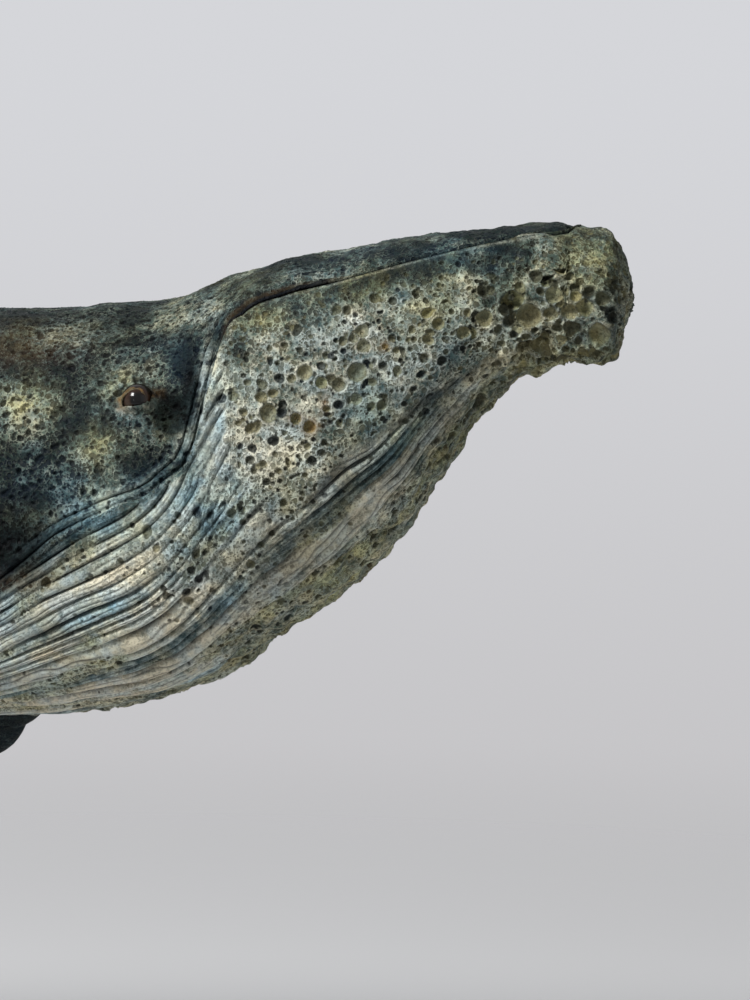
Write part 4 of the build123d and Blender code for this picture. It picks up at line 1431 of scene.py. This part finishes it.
def paint_group():
    """Aged paint over the modelled relief, with painted shade and a painted highlight: dark, slate, pale and
    cream by the pale mark and three sizes of noise; foam with dark hollows and pale lips, except on smooth
    strands; the pits' floors by their tone; cream dragged over rims and worn crowns, and as a painted
    highlight along the lower lip; a drift between cool and warm; blue, ochre and pink washes; rust; a dark
    glaze of painted shade; and dark wash in the grooves."""
    name = "aged_paint"
    if name in bpy.data.node_groups:
        return bpy.data.node_groups[name]
    paint = bpy.context.scene.whale_paint
    cream = with_alpha(paint.cream)
    ink = with_alpha(paint.ink)
    taken = {}
    for attribute, marks in ATTRIBUTES.items():
        taken[attribute.title()] = "Color"
        taken[marks[3].title()] = "Float"
    group, take, give = new_group(name, taken, {"Color": "Color", "Roughness": "Float", "Height": "Float"})
    place = add(group, "ShaderNodeTexCoord").outputs["Object"]
    pit, rim, groove = channels(group, take.outputs["Relief"])
    pale, ochre, blue = channels(group, take.outputs["Paint"])
    smooth, wear, pink = channels(group, take.outputs["Form"])
    cloud = noise(group, place, 110.0, 4.0, 0.6)
    mottle = noise(group, place, 420.0, 4.0, 0.65)
    speck = noise(group, place, 1500.0, 3.0, 0.65)
    foam = add(group, "ShaderNodeGroup", node_tree=foam_group())
    foam.inputs["Scale"].default_value = FOAM_SCALE
    rough = sum_of(group, "SUBTRACT", 1.0, smooth)
    shade = pale
    for value, amount in ((cloud, 0.50), (mottle, 1.00), (speck, 0.90)):
        shade = sum_of(group, "ADD", shade, times(group, sum_of(group, "SUBTRACT", value, 0.5), amount))
    stops = ((0.18, paint.dark), (0.44, paint.slate), (0.70, paint.pale), (1.00, paint.cream))
    colour = colour_stops(group, shade, stops)
    lift = sum_of(group, "MULTIPLY_ADD", times(group, pale, pale), 1.1, 0.04)
    hollow = times(group, foam.outputs["Hollow"], rough, ramp(group, cloud, 0.30, 0.60, 0.55, 0.92))
    bottom = blend(group, ramp(group, pale, 0.30, 0.75, 0.0, 0.30), ink, with_alpha(paint.olive))
    colour = blend(group, hollow, colour, bottom)
    wall = times(group, foam.outputs["Wall"], ramp(group, mottle, 0.3, 0.6), times(group, lift, rough))
    colour = blend(group, wall, colour, cream)
    low = [0.40 * part for part in paint.olive]
    high = [1.15 * part for part in paint.olive]
    stops = ((0.05, paint.ink), (0.35, low), (0.58, paint.olive), (0.75, high), (0.97, paint.ochre))
    floor = colour_stops(group, take.outputs["Tone"], stops)
    floor = blend(group, ramp(group, speck, 0.35, 0.65, 0.35, 0.0), floor, ink)
    colour = blend(group, ramp(group, pit, 0.02, 0.45, 0.0, 0.85), colour, floor)
    drag = times(group, rim, ramp(group, speck, 0.28, 0.60))
    drag = sum_of(group, "MULTIPLY", drag, sum_of(group, "ADD", lift, 0.15), clamp=True)
    # Cream where the crowns are dry-brushed and worn, and as a painted highlight along the lower lip.
    worn = times(group, wear, ramp(group, speck, 0.30, 0.62, 0.1, 0.9))
    colour = blend(group, sum_of(group, "MAXIMUM", drag, worn), colour, cream)
    drift = ramp(group, noise(group, place, 300.0, 4.0), 0.38, 0.62)
    colour = blend(group, drift, glazed(group, colour, COOL_GLAZE), glazed(group, colour, WARM_GLAZE))
    washes = (
        (blue, ramp(group, cloud, 0.35, 0.65, 0.35, 0.95), BLUE_GLAZE, 0.25, paint.blue),
        (ochre, ramp(group, mottle, 0.34, 0.60, 0.25, 1.0), OCHRE_GLAZE, 0.22, paint.ochre),
        (pink, ramp(group, mottle, 0.30, 0.60, 0.3, 0.9), PINK_GLAZE, 0.20, paint.pink),
    )
    for mark, patches, glaze, cover, own in washes:
        washed = blend(group, cover, glazed(group, colour, glaze), with_alpha(own))
        colour = blend(group, times(group, mark, patches), colour, washed)
    spots = times(group, take.outputs["Rust"], ramp(group, mottle, 0.22, 0.60))
    colour = blend(group, spots, colour, with_alpha(paint.rust))
    # Painted shade: a dark glaze over the colour where shade falls.
    colour = blend(group, take.outputs["Soot"], colour, glazed(group, colour, SOOT_GLAZE))
    colour = blend(group, times(group, groove, 0.96), colour, ink)
    height = times(group, foam.outputs["Height"], rough)
    height = sum_of(group, "ADD", height, times(group, speck, 0.6))
    feed(group, give.inputs["Color"], colour)
    feed(group, give.inputs["Roughness"], sum_of(group, "MULTIPLY_ADD", speck, 0.25, 0.50))
    feed(group, give.inputs["Height"], height)
    return group


def channels(tree, colour):
    """The three values of a colour."""
    node = add(tree, "ShaderNodeSeparateColor")
    feed(tree, node.inputs[0], colour)
    return node.outputs


def colour_stops(tree, value, stops):
    """Colour that a value picks from a row of stops."""
    node = add(tree, "ShaderNodeValToRGB")
    feed(tree, node.inputs[0], value)
    elements = node.color_ramp.elements
    elements[0].position, elements[0].color = stops[0][0], with_alpha(stops[0][1])
    elements[1].position, elements[1].color = stops[-1][0], with_alpha(stops[-1][1])
    for place, colour in stops[1:-1]:
        elements.new(place).color = with_alpha(colour)
    return node.outputs["Color"]


def new_material(name):
    """Material with a bare Principled shader; returns it with its tree and shader."""
    material = bpy.data.materials.new(name)
    material.use_nodes = True
    tree = material.node_tree
    return material, tree, tree.nodes["Principled BSDF"]


def add_bump(tree, shader, height, strength, millimetres):
    """Fine bump on a shader, from a height and its depth."""
    bump = add(tree, "ShaderNodeBump")
    bump.inputs["Strength"].default_value = strength
    bump.inputs["Distance"].default_value = millimetres * MM
    feed(tree, bump.inputs["Height"], height)
    feed(tree, shader.inputs["Normal"], bump.outputs["Normal"])


def skin_material():
    """Painted cast skin, read from the piece's relief, paint and form attributes."""
    name = "painted_skin"
    if name in bpy.data.materials:
        return bpy.data.materials[name]
    material, tree, shader = new_material(name)
    coat = add(tree, "ShaderNodeGroup", node_tree=paint_group())
    for attribute, marks in ATTRIBUTES.items():
        layer = add(tree, "ShaderNodeAttribute", attribute_name=attribute)
        feed(tree, coat.inputs[attribute.title()], layer.outputs["Color"])
        feed(tree, coat.inputs[marks[3].title()], layer.outputs["Alpha"])
    feed(tree, shader.inputs["Base Color"], coat.outputs["Color"])
    feed(tree, shader.inputs["Roughness"], coat.outputs["Roughness"])
    add_bump(tree, shader, coat.outputs["Height"], 0.85, SKIN_BUMP_MM)
    shader.inputs["Specular IOR Level"].default_value = 0.08
    return material


def dress(node, material):
    """Gives a solid its finish."""
    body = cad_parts[node]
    body.data.materials.clear()
    body.data.materials.append(material)


def dress_all(finishes):
    """Gives each node of a table its finish. Nodes with the same finish share one material."""
    made = {name: streaked(name) for name in dict.fromkeys(finishes.values())}
    for node, name in finishes.items():
        dress(node, made[name])


def grain_group():
    """Streaks along one axis, for drawn and turned metal and for wood: noise stretched by the given
    vector."""
    name = "stretched_grain"
    if name in bpy.data.node_groups:
        return bpy.data.node_groups[name]
    group, take, give = new_group(name, {"Stretch": "Vector"}, {"Grain": "Float", "Cloud": "Float"})
    place = add(group, "ShaderNodeTexCoord").outputs["Object"]
    scaled = vector_sum(group, "MULTIPLY", place, take.outputs["Stretch"])
    feed(group, give.inputs["Grain"], noise(group, scaled.outputs[0], 1.0, 4.0, 0.6))
    feed(group, give.inputs["Cloud"], noise(group, place, 90.0, 3.0))
    return group


def streaked(name):
    """One of the finishes: streaks between two colours, with the roughness between two values."""
    low, high, stretch, metallic, (least, greatest), depth = FINISHES[name]
    material, tree, shader = new_material(name)
    grain = add(tree, "ShaderNodeGroup", node_tree=grain_group())
    grain.inputs["Stretch"].default_value = stretch
    streaks = times(tree, grain.outputs["Grain"], 0.7)
    both = sum_of(tree, "ADD", streaks, times(tree, grain.outputs["Cloud"], 0.3))
    dark = with_alpha(paint_colour(*low))
    light = with_alpha(paint_colour(*high))
    feed(tree, shader.inputs["Base Color"], blend(tree, ramp(tree, both, 0.32, 0.68), dark, light))
    feed(tree, shader.inputs["Roughness"], ramp(tree, both, 0.25, 0.75, greatest, least))
    add_bump(tree, shader, both, 0.4, depth)
    shader.inputs["Metallic"].default_value = metallic
    return material


def eye_material():
    """Brown glass bead: dark pupil, brown iris with rays and a darker edge, by the angle from the outward
    axis, and a dim amber painted glow low on the tail side, painted light through the glass. The right eye
    mirrors the left."""
    material, tree, shader = new_material("eye_bead")
    low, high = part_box("eye_left")
    place = add(tree, "ShaderNodeTexCoord").outputs["Object"]
    sides = vector_sum(tree, "ABSOLUTE", place)
    shifted = vector_sum(tree, "SUBTRACT", sides.outputs[0], (low + high) / 2)
    unit = vector_sum(tree, "NORMALIZE", shifted.outputs[0])
    outward = vector_sum(tree, "DOT_PRODUCT", unit.outputs[0], Vector(EYE_AXIS).normalized())
    lit = vector_sum(tree, "DOT_PRODUCT", unit.outputs[0], Vector(EYE_GLOW_AXIS).normalized())
    rays = noise(tree, shifted.outputs[0], 1800.0, 2.0)
    uneven = times(tree, sum_of(tree, "SUBTRACT", rays, 0.5), 0.05)
    angle = sum_of(tree, "ADD", outward.outputs["Value"], uneven)
    stops = [(stop, paint_colour(*colour)) for stop, colour in IRIS_STOPS]
    # Painted glow: amber on the side away from the light, painted light through the glass bead.
    glow = times(tree, ramp(tree, lit.outputs["Value"], 0.93, 0.98), ramp(tree, angle, 0.92, 0.84))
    amber = with_alpha(paint_colour(*EYE_GLOW))
    feed(tree, shader.inputs["Base Color"], blend(tree, glow, colour_stops(tree, angle, stops), amber))
    shader.inputs["Roughness"].default_value = 0.16
    shader.inputs["Specular IOR Level"].default_value = 0.14
    shader.inputs["Coat Weight"].default_value = 0.25
    shader.inputs["Coat Roughness"].default_value = 0.06
    return material


# Operators


class WHALE_OT_back(bpy.types.Operator):
    """Make the skin of the upper casting: rostrum, head, back and tail stock"""

    bl_idname = "whale.back"
    bl_label = "Back skin"

    def execute(self, context):
        places, cuts = skin_rows(ROSTRUM_NOSE_SHARES, BACK_NOSE_ROWS, BACK_RUNS)
        across, closing = columns(*BACK_COLUMNS)
        line = mouth_line()

        def measure(points):
            return back_relief(points, line_distance(points[:, 0], points[:, 2], line))

        grid, marks = raise_sheet(back_sheet(places, across, closing), len(across), measure)
        names = [name for name, _, _ in BACK_RUNS]
        split_skin(grid, marks, len(across), cuts, names, "body_casting")
        return {"FINISHED"}


class WHALE_OT_throat(bpy.types.Operator):
    """Make the skin of the lower casting: chin, jaw, pleated throat and belly"""

    bl_idname = "whale.throat"
    bl_label = "Throat skin"

    def execute(self, context):
        runs = THROAT_RUNS + [(BELLY_NAME, throat_end(), BELLY_ROWS)]
        places, cuts = skin_rows(JAW_NOSE_SHARES, THROAT_NOSE_ROWS, runs)
        across, closing = columns(*THROAT_COLUMNS)
        line = mouth_line()
        keel = np.tile(1.0 - np.abs(across), len(places))
        strand = (strand_share(places, across) * context.scene.whale_relief.strands).ravel()

        def measure(points):
            lip = line_distance(points[:, 0], points[:, 2], line)
            return throat_relief(points, lip, strand, keel)

        grid, marks = raise_sheet(throat_sheet(places, across, closing), len(across), measure)
        names = [name for name, _, _ in runs]
        split_skin(grid, marks, len(across), cuts, names, "throat_casting")
        return {"FINISHED"}


def fin_relief(points, edge_knobs, under):
    """Height and marks of a fin: small pits, unevenness and the knobs of its edges. under is how much
    each point faces down, where the fin is a little paler."""
    none = np.zeros(len(points))
    far = none - 1.0
    layers = ((1.55, 0.28, 0.56, none + 0.30), (0.95, 0.20, 0.36, none + 0.50))
    height, marks = skin_texture(points, far, far, layers)
    marks["tone"] *= 0.25
    marks["rim"] = 0.45 * np.maximum(marks["rim"], 0.4 * np.clip(edge_knobs, 0.0, 1.0))
    marks["pale"] = 0.03 + 0.10 * lumps(points, 6.0, 81) + 0.06 * under
    marks["ochre"] = 0.30 * step(lumps(points, 7.0, 82), 0.0, 0.7)
    marks["blue"] = 0.20 + 0.30 * step(lumps(points, 10.0, 83), 0.0, 0.8)
    return 0.5 * height + edge_knobs, marks


def fin_section(angle):
    """Thickness round a fin's section: a sine, thinner towards the trailing edge."""
    return np.sin(angle) * (0.72 + 0.36 * (0.5 * (1.0 + np.cos(angle))))


def fin_tip(shares):
    """Size of a fin's section, rounded off over the last part of the span."""
    return np.sqrt(np.clip((1.0 - shares) / TIP_SHARE, 0.0, 1.0))


def fin_sheet(seat, ways, rows, lengths, root, count):
    """Fin as a grid: at each place along the span the section is chord times cosine and thickness times
    sine, moved back by the sweep and down by the droop. The root runs on straight inside the skin, and
    the last row shrinks to the tip. ways point along the chord, the span and the droop, and lengths are
    the span, the sweep, the half chord, the half thickness and the droop. Returns the grid, the shares of
    the span and the angles."""
    chord_way, span_way, droop_way = [np.array(way) for way in ways]
    span, sweep, half_chord, half_thickness, droop = [length / MM for length in lengths]
    inner = np.linspace(-root / span, 0.0, ROOT_ROWS)[:-1]
    outer = 1.0 - (1.0 - np.linspace(0.0, 1.0, SPAN_ROWS)) ** 1.25
    shares = np.concatenate([inner, outer])
    back, chord, thick, down = smooth_rows(rows, np.clip(shares, 0.0, 1.0)).T
    tip = fin_tip(shares)
    angle = circle(count)
    flare = 1.0 + 0.25 * np.exp(-np.clip(shares * span + root, 0.0, None) / 3.0)
    breadth = (chord * tip * half_chord)[:, None] * np.cos(angle)
    depth = (thick * tip * flare * half_thickness)[:, None] * fin_section(angle)
    middle = -(back * sweep)[:, None]
    grid = np.array(seat)[None, None, :] + (middle + breadth)[:, :, None] * chord_way
    grid = grid + (shares * span)[:, None, None] * span_way
    grid = grid + (depth + (down * droop)[:, None])[:, :, None] * droop_way
    return grid, shares, angle


def fin_piece(name, node, grid, knobs, under):
    """Skin of a fin over its grid. knobs and under are grids of the same size."""
    count = grid.shape[1]

    def measure(points):
        return fin_relief(points, knobs.ravel(), under.ravel())

    grid, marks = raise_sheet(grid, count, measure)
    mesh = closed_mesh(name, grid, marks, count)
    place_piece(name, mesh, skin_material(), [node])


class WHALE_OT_flippers(bpy.types.Operator):
    """Make both flippers, with knobs along their leading edges"""

    bl_idname = "whale.flippers"
    bl_label = "Flippers"

    def execute(self, context):
        size = sizes()
        tilt = size.flipper_tilt
        proud = size.flipper_proud / MM
        place, level = FLIPPER_SEAT_SHARES
        _, belly, half, widest = back_stations(np.array([place]))
        bend = 1.0 - ((widest - level) / (widest - belly)) ** size.section_power
        reach = float((half * bend ** (1.0 / size.section_power))[0]) * size.half_width / MM
        lengths = (
            size.flipper_span,
            size.flipper_sweep,
            size.flipper_half_chord,
            size.flipper_half_thickness,
            size.flipper_droop,
        )
        for side, name in ((1.0, "flipper_left"), (-1.0, "flipper_right")):
            span_way = (0.0, side * math.cos(tilt), -math.sin(tilt))
            droop_way = (0.0, -side * math.sin(tilt), -math.cos(tilt))
            ways = ((1.0, 0.0, 0.0), span_way, droop_way)
            seat = np.array([place_to_x(place), side * reach, level_to_z(level)])
            seat = seat + proud * np.array(span_way)
            root = proud + FLIPPER_ROOT_MM
            grid, shares, angle = fin_sheet(seat, ways, FLIPPER_SHARES, lengths, root, FLIPPER_COLUMNS)
            wave = np.abs(np.sin(np.pi * (shares * 7.0 + 0.3))) ** 0.7
            front = np.clip(np.cos(angle), 0.0, 1.0) ** 4
            rear = np.clip(-np.cos(angle), 0.0, 1.0) ** 6
            ends = between(shares, 0.02, 0.12, 0.93, 1.0)
            knobs = (wave * ends)[:, None] * front
            knobs = knobs + (0.5 * np.sin(shares * 41.0) * ends)[:, None] * rear
            under = np.repeat(step(np.sin(angle), 0.0, 0.7)[None, :], len(shares), axis=0)
            fin_piece(name + "_skin", name, grid, knobs, under)
        return {"FINISHED"}


class WHALE_OT_dorsal(bpy.types.Operator):
    """Make the low hooked dorsal fin"""

    bl_idname = "whale.dorsal"
    bl_label = "Dorsal fin"

    def execute(self, context):
        size = sizes()
        place = DORSAL_PLACE_SHARE
        back = float(back_stations(np.array([place]))[0][0])
        seat = (place_to_x(place), 0.0, level_to_z(back))
        ways = ((1.0, 0.0, 0.0), (0.0, 0.0, 1.0), (0.0, 1.0, 0.0))
        lengths = (
            size.dorsal_height,
            size.dorsal_sweep,
            size.dorsal_half_length,
            size.dorsal_half_thickness,
            0.0,
        )
        grid, _, _ = fin_sheet(seat, ways, DORSAL_SHARES, lengths, DORSAL_ROOT_MM, DORSAL_COLUMNS)
        none = np.zeros(grid.shape[:2])
        fin_piece("dorsal_skin", "dorsal_fin", grid, none, none)
        return {"FINISHED"}


class WHALE_OT_flukes(bpy.types.Operator):
    """Make the tail flukes and the stub that joins them to the tail"""

    bl_idname = "whale.flukes"
    bl_label = "Flukes"

    def execute(self, context):
        place, back, belly, half, widest = TRUNK_SHARES[-1]
        self.flukes(place_to_x(place), level_to_z(widest))
        self.stub(place_to_x(place), level_to_z(widest), back - widest, widest - belly, half)
        return {"FINISHED"}

    def flukes(self, tail_x, tail_z):
        """Both flukes from tip to tip, with an uneven rear edge."""
        size = sizes()
        out = np.linspace(-1.0, 1.0, FLUKE_ROWS)
        ends = fin_tip(np.abs(out))
        back, chord, thick, lift = smooth_rows(FLUKE_SHARES, np.abs(out)).T
        angle = circle(FLUKE_COLUMNS)
        breadth = (chord * ends * size.fluke_half_chord / MM)[:, None] * np.cos(angle)
        depth = (thick * ends * size.fluke_half_thickness / MM)[:, None] * fin_section(angle)
        x = tail_x - size.fluke_reach / MM - (back * size.fluke_sweep / MM)[:, None] + breadth
        y = np.repeat((out * size.fluke_half_span / MM)[:, None], len(angle), axis=1)
        z = tail_z + (lift * size.fluke_lift / MM)[:, None] + depth
        rear = np.clip(-np.cos(angle), 0.0, 1.0) ** 4
        keep = fade(np.abs(out), 0.86, 1.0)
        knobs = (0.45 * np.sin(np.abs(out) * 46.0) * keep)[:, None] * rear
        under = np.repeat(step(-np.sin(angle), 0.0, 0.7)[None, :], len(out), axis=0)
        fin_piece("fluke_skin", "tail_flukes", np.stack([x, y, z], axis=2), knobs, under)

    def stub(self, tail_x, tail_z, rise, drop, half_width):
        """Stub that narrows from the tail's last section to the flukes."""
        size = sizes()
        shares = np.linspace(0.0, 1.0, STUB_ROWS)
        half, top, bottom = smooth_rows(STUB_SHARES, shares).T
        turn = circle(STUB_COLUMNS)
        up = bent(np.cos(turn))
        over = (top * rise * size.body_depth / MM)[:, None]
        below = (bottom * drop * size.body_depth / MM)[:, None]
        run = size.fluke_reach / MM + STUB_OVERLAP_MM
        x = np.repeat((tail_x + STUB_OVERLAP_MM - shares * run)[:, None], len(turn), axis=1)
        y = (half * half_width * size.half_width / MM)[:, None] * bent(np.sin(turn))
        z = tail_z + np.where(up > 0, up * over, up * below)
        none = np.zeros(x.shape)
        fin_piece("stub_skin", "tail_flukes", np.stack([x, y, z], axis=2), none, none)


class WHALE_OT_eyes(bpy.types.Operator):
    """Finish the two glass eyes"""

    bl_idname = "whale.eyes"
    bl_label = "Eyes"

    def execute(self, context):
        material = eye_material()
        dress("eye_left", material)
        dress("eye_right", material)
        return {"FINISHED"}


class WHALE_OT_inside(bpy.types.Operator):
    """Finish the core, the spine rod, the pins and the dowels inside the figure"""

    bl_idname = "whale.inside"
    bl_label = "Core and pins"

    def execute(self, context):
        dress_all(INSIDE_FINISHES)
        return {"FINISHED"}


class WHALE_OT_stand(bpy.types.Operator):
    """Finish the rod, collar, bush, ferrule, base and felt"""

    bl_idname = "whale.stand"
    bl_label = "Stand"

    def execute(self, context):
        dress_all(STAND_FINISHES)
        return {"FINISHED"}


class WHALE_OT_stage(bpy.types.Operator):
    """Make the table, the backdrop, the lights and the camera"""

    bl_idname = "whale.stage"
    bl_label = "Stage"

    def execute(self, context):
        stage = context.scene.whale_stage
        self.table(stage)
        self.backdrop(context.scene, stage)
        target = Vector((chin_x() * MM - stage.aim_along, 0.0, sizes().belly_line + stage.aim_above))
        right, back = [Vector(way) for way in view_ways(stage.azimuth, stage.elevation)]
        data = bpy.data.cameras.new("photo_camera")
        data.sensor_width = SENSOR_MM
        data.lens = SENSOR_MM * stage.distance / stage.frame_height
        data.clip_start = 0.01
        data.clip_end = 60.0
        camera = bpy.data.objects.new("photo_camera", data)
        context.scene.collection.objects.link(camera)
        camera.location = target + back * stage.distance
        camera.rotation_euler = (-back).to_track_quat("-Z", "Y").to_euler()
        context.scene.camera = camera
        up = Vector((0.0, 0.0, 1.0))
        for name, ((aside, over, near), distance, size, power) in LAMPS.items():
            self.lamp(context, name, target, aside * right + over * up + near * back, distance, size, power)
        context.scene.view_settings.view_transform = "Standard"
        return {"FINISHED"}

    def lamp(self, context, name, target, way, distance, size, power):
        """Square soft light that looks at the target."""
        data = bpy.data.lights.new(name, "AREA")
        data.size = size
        data.energy = power
        lamp = bpy.data.objects.new(name, data)
        context.scene.collection.objects.link(lamp)
        lamp.location = target + way.normalized() * distance
        lamp.rotation_euler = (target - lamp.location).to_track_quat("-Z", "Y").to_euler()

    def table(self, stage):
        """Round table top whose paint fades into the backdrop with the distance from the stand."""
        turn = circle(TABLE_COLUMNS)
        rings = np.array(TABLE_RINGS_M)
        x = rings[:, None] * np.cos(turn)
        y = rings[:, None] * np.sin(turn)
        points = np.stack([x, y, np.zeros_like(x)], axis=2).reshape(-1, 3)
        mesh = bpy.data.meshes.new("table_top")
        mesh.from_pydata(points.tolist(), [], grid_faces(len(rings), len(turn)).tolist())
        mesh.update()
        table = bpy.data.objects.new("table_top", mesh)
        bpy.context.scene.collection.objects.link(table)
        material, tree, shader = new_material("pale_table")
        place = add(tree, "ShaderNodeTexCoord").outputs["Object"]
        reach = vector_sum(tree, "LENGTH", place)
        gone = ramp(tree, reach.outputs["Value"], 0.12, 0.60)
        cloud = times(tree, noise(tree, place, 3.0, 2.0), 0.1)
        paper = blend(tree, cloud, with_alpha(stage.floor), with_alpha(stage.backdrop))
        feed(tree, shader.inputs["Base Color"], paper)
        shader.inputs["Roughness"].default_value = 0.8
        shader.inputs["Specular IOR Level"].default_value = 0.1
        clear = add(tree, "ShaderNodeBsdfTransparent")
        mix = add(tree, "ShaderNodeMixShader")
        feed(tree, mix.inputs[0], gone)
        feed(tree, mix.inputs[1], shader.outputs[0])
        feed(tree, mix.inputs[2], clear.outputs[0])
        feed(tree, tree.nodes["Material Output"].inputs["Surface"], mix.outputs[0])
        mesh.materials.append(material)

    def backdrop(self, scene, stage):
        """World that shows the backdrop's paper, darker towards the table, and lights the figure evenly."""
        world = bpy.data.worlds.new("studio_paper")
        scene.world = world
        world.use_nodes = True
        tree = world.node_tree
        shown = add(tree, "ShaderNodeBackground")
        way = add(tree, "ShaderNodeSeparateXYZ")
        feed(tree, way.inputs[0], add(tree, "ShaderNodeTexCoord").outputs["Generated"])
        high = ramp(tree, way.outputs["Z"], -0.20, 0.11)
        paper = blend(tree, high, with_alpha(stage.backdrop_low), with_alpha(stage.backdrop))
        feed(tree, shown.inputs["Color"], paper)
        shown.inputs["Strength"].default_value = 1.0
        light = add(tree, "ShaderNodeBackground")
        light.inputs["Color"].default_value = (0.92, 0.98, 1.0, 1.0)
        light.inputs["Strength"].default_value = 0.24
        rays = add(tree, "ShaderNodeLightPath")
        seen = sum_of(tree, "MAXIMUM", rays.outputs["Is Camera Ray"], rays.outputs["Is Glossy Ray"])
        seen = sum_of(tree, "MAXIMUM", seen, rays.outputs["Is Transmission Ray"])
        mix = add(tree, "ShaderNodeMixShader")
        feed(tree, mix.inputs[0], seen)
        feed(tree, mix.inputs[1], light.outputs[0])
        feed(tree, mix.inputs[2], shown.outputs[0])
        feed(tree, tree.nodes["World Output"].inputs["Surface"], mix.outputs[0])


class WHALE_PT_panel(bpy.types.Panel):
    """Lists the makers of the figurine and their settings"""

    bl_idname = "WHALE_PT_panel"
    bl_label = "Whale figurine"
    bl_space_type = "VIEW_3D"
    bl_region_type = "UI"
    bl_category = "Whale"

    def draw(self, context):
        layout = self.layout
        for maker in MAKERS:
            layout.operator(maker.bl_idname)
        for group in (
            context.scene.whale_sizes,
            context.scene.whale_relief,
            context.scene.whale_paint,
            context.scene.whale_stage,
        ):
            box = layout.box()
            for name in group.__annotations__:
                box.prop(group, name)


MAKERS = (
    WHALE_OT_back,
    WHALE_OT_throat,
    WHALE_OT_flippers,
    WHALE_OT_dorsal,
    WHALE_OT_flukes,
    WHALE_OT_eyes,
    WHALE_OT_inside,
    WHALE_OT_stand,
    WHALE_OT_stage,
)
CLASSES = (WhaleSizes, WhaleRelief, WhalePaint, WhaleStage) + MAKERS + (WHALE_PT_panel,)


def register():
    """Registers the classes and hangs the settings on the scene."""
    for cls in CLASSES:
        bpy.utils.register_class(cls)
    bpy.types.Scene.whale_sizes = PointerProperty(type=WhaleSizes)
    bpy.types.Scene.whale_relief = PointerProperty(type=WhaleRelief)
    bpy.types.Scene.whale_paint = PointerProperty(type=WhalePaint)
    bpy.types.Scene.whale_stage = PointerProperty(type=WhaleStage)


def unregister():
    """Takes the settings off the scene and unregisters the classes."""
    for name in ("whale_sizes", "whale_relief", "whale_paint", "whale_stage"):
        delattr(bpy.types.Scene, name)
    for cls in reversed(CLASSES):
        bpy.utils.unregister_class(cls)


def main():
    """Builds everything in order."""
    register()
    bpy.ops.whale.back()
    bpy.ops.whale.throat()
    bpy.ops.whale.flippers()
    bpy.ops.whale.dorsal()
    bpy.ops.whale.flukes()
    bpy.ops.whale.eyes()
    bpy.ops.whale.inside()
    bpy.ops.whale.stand()
    bpy.ops.whale.stage()


if __name__ == "__main__":
    main()
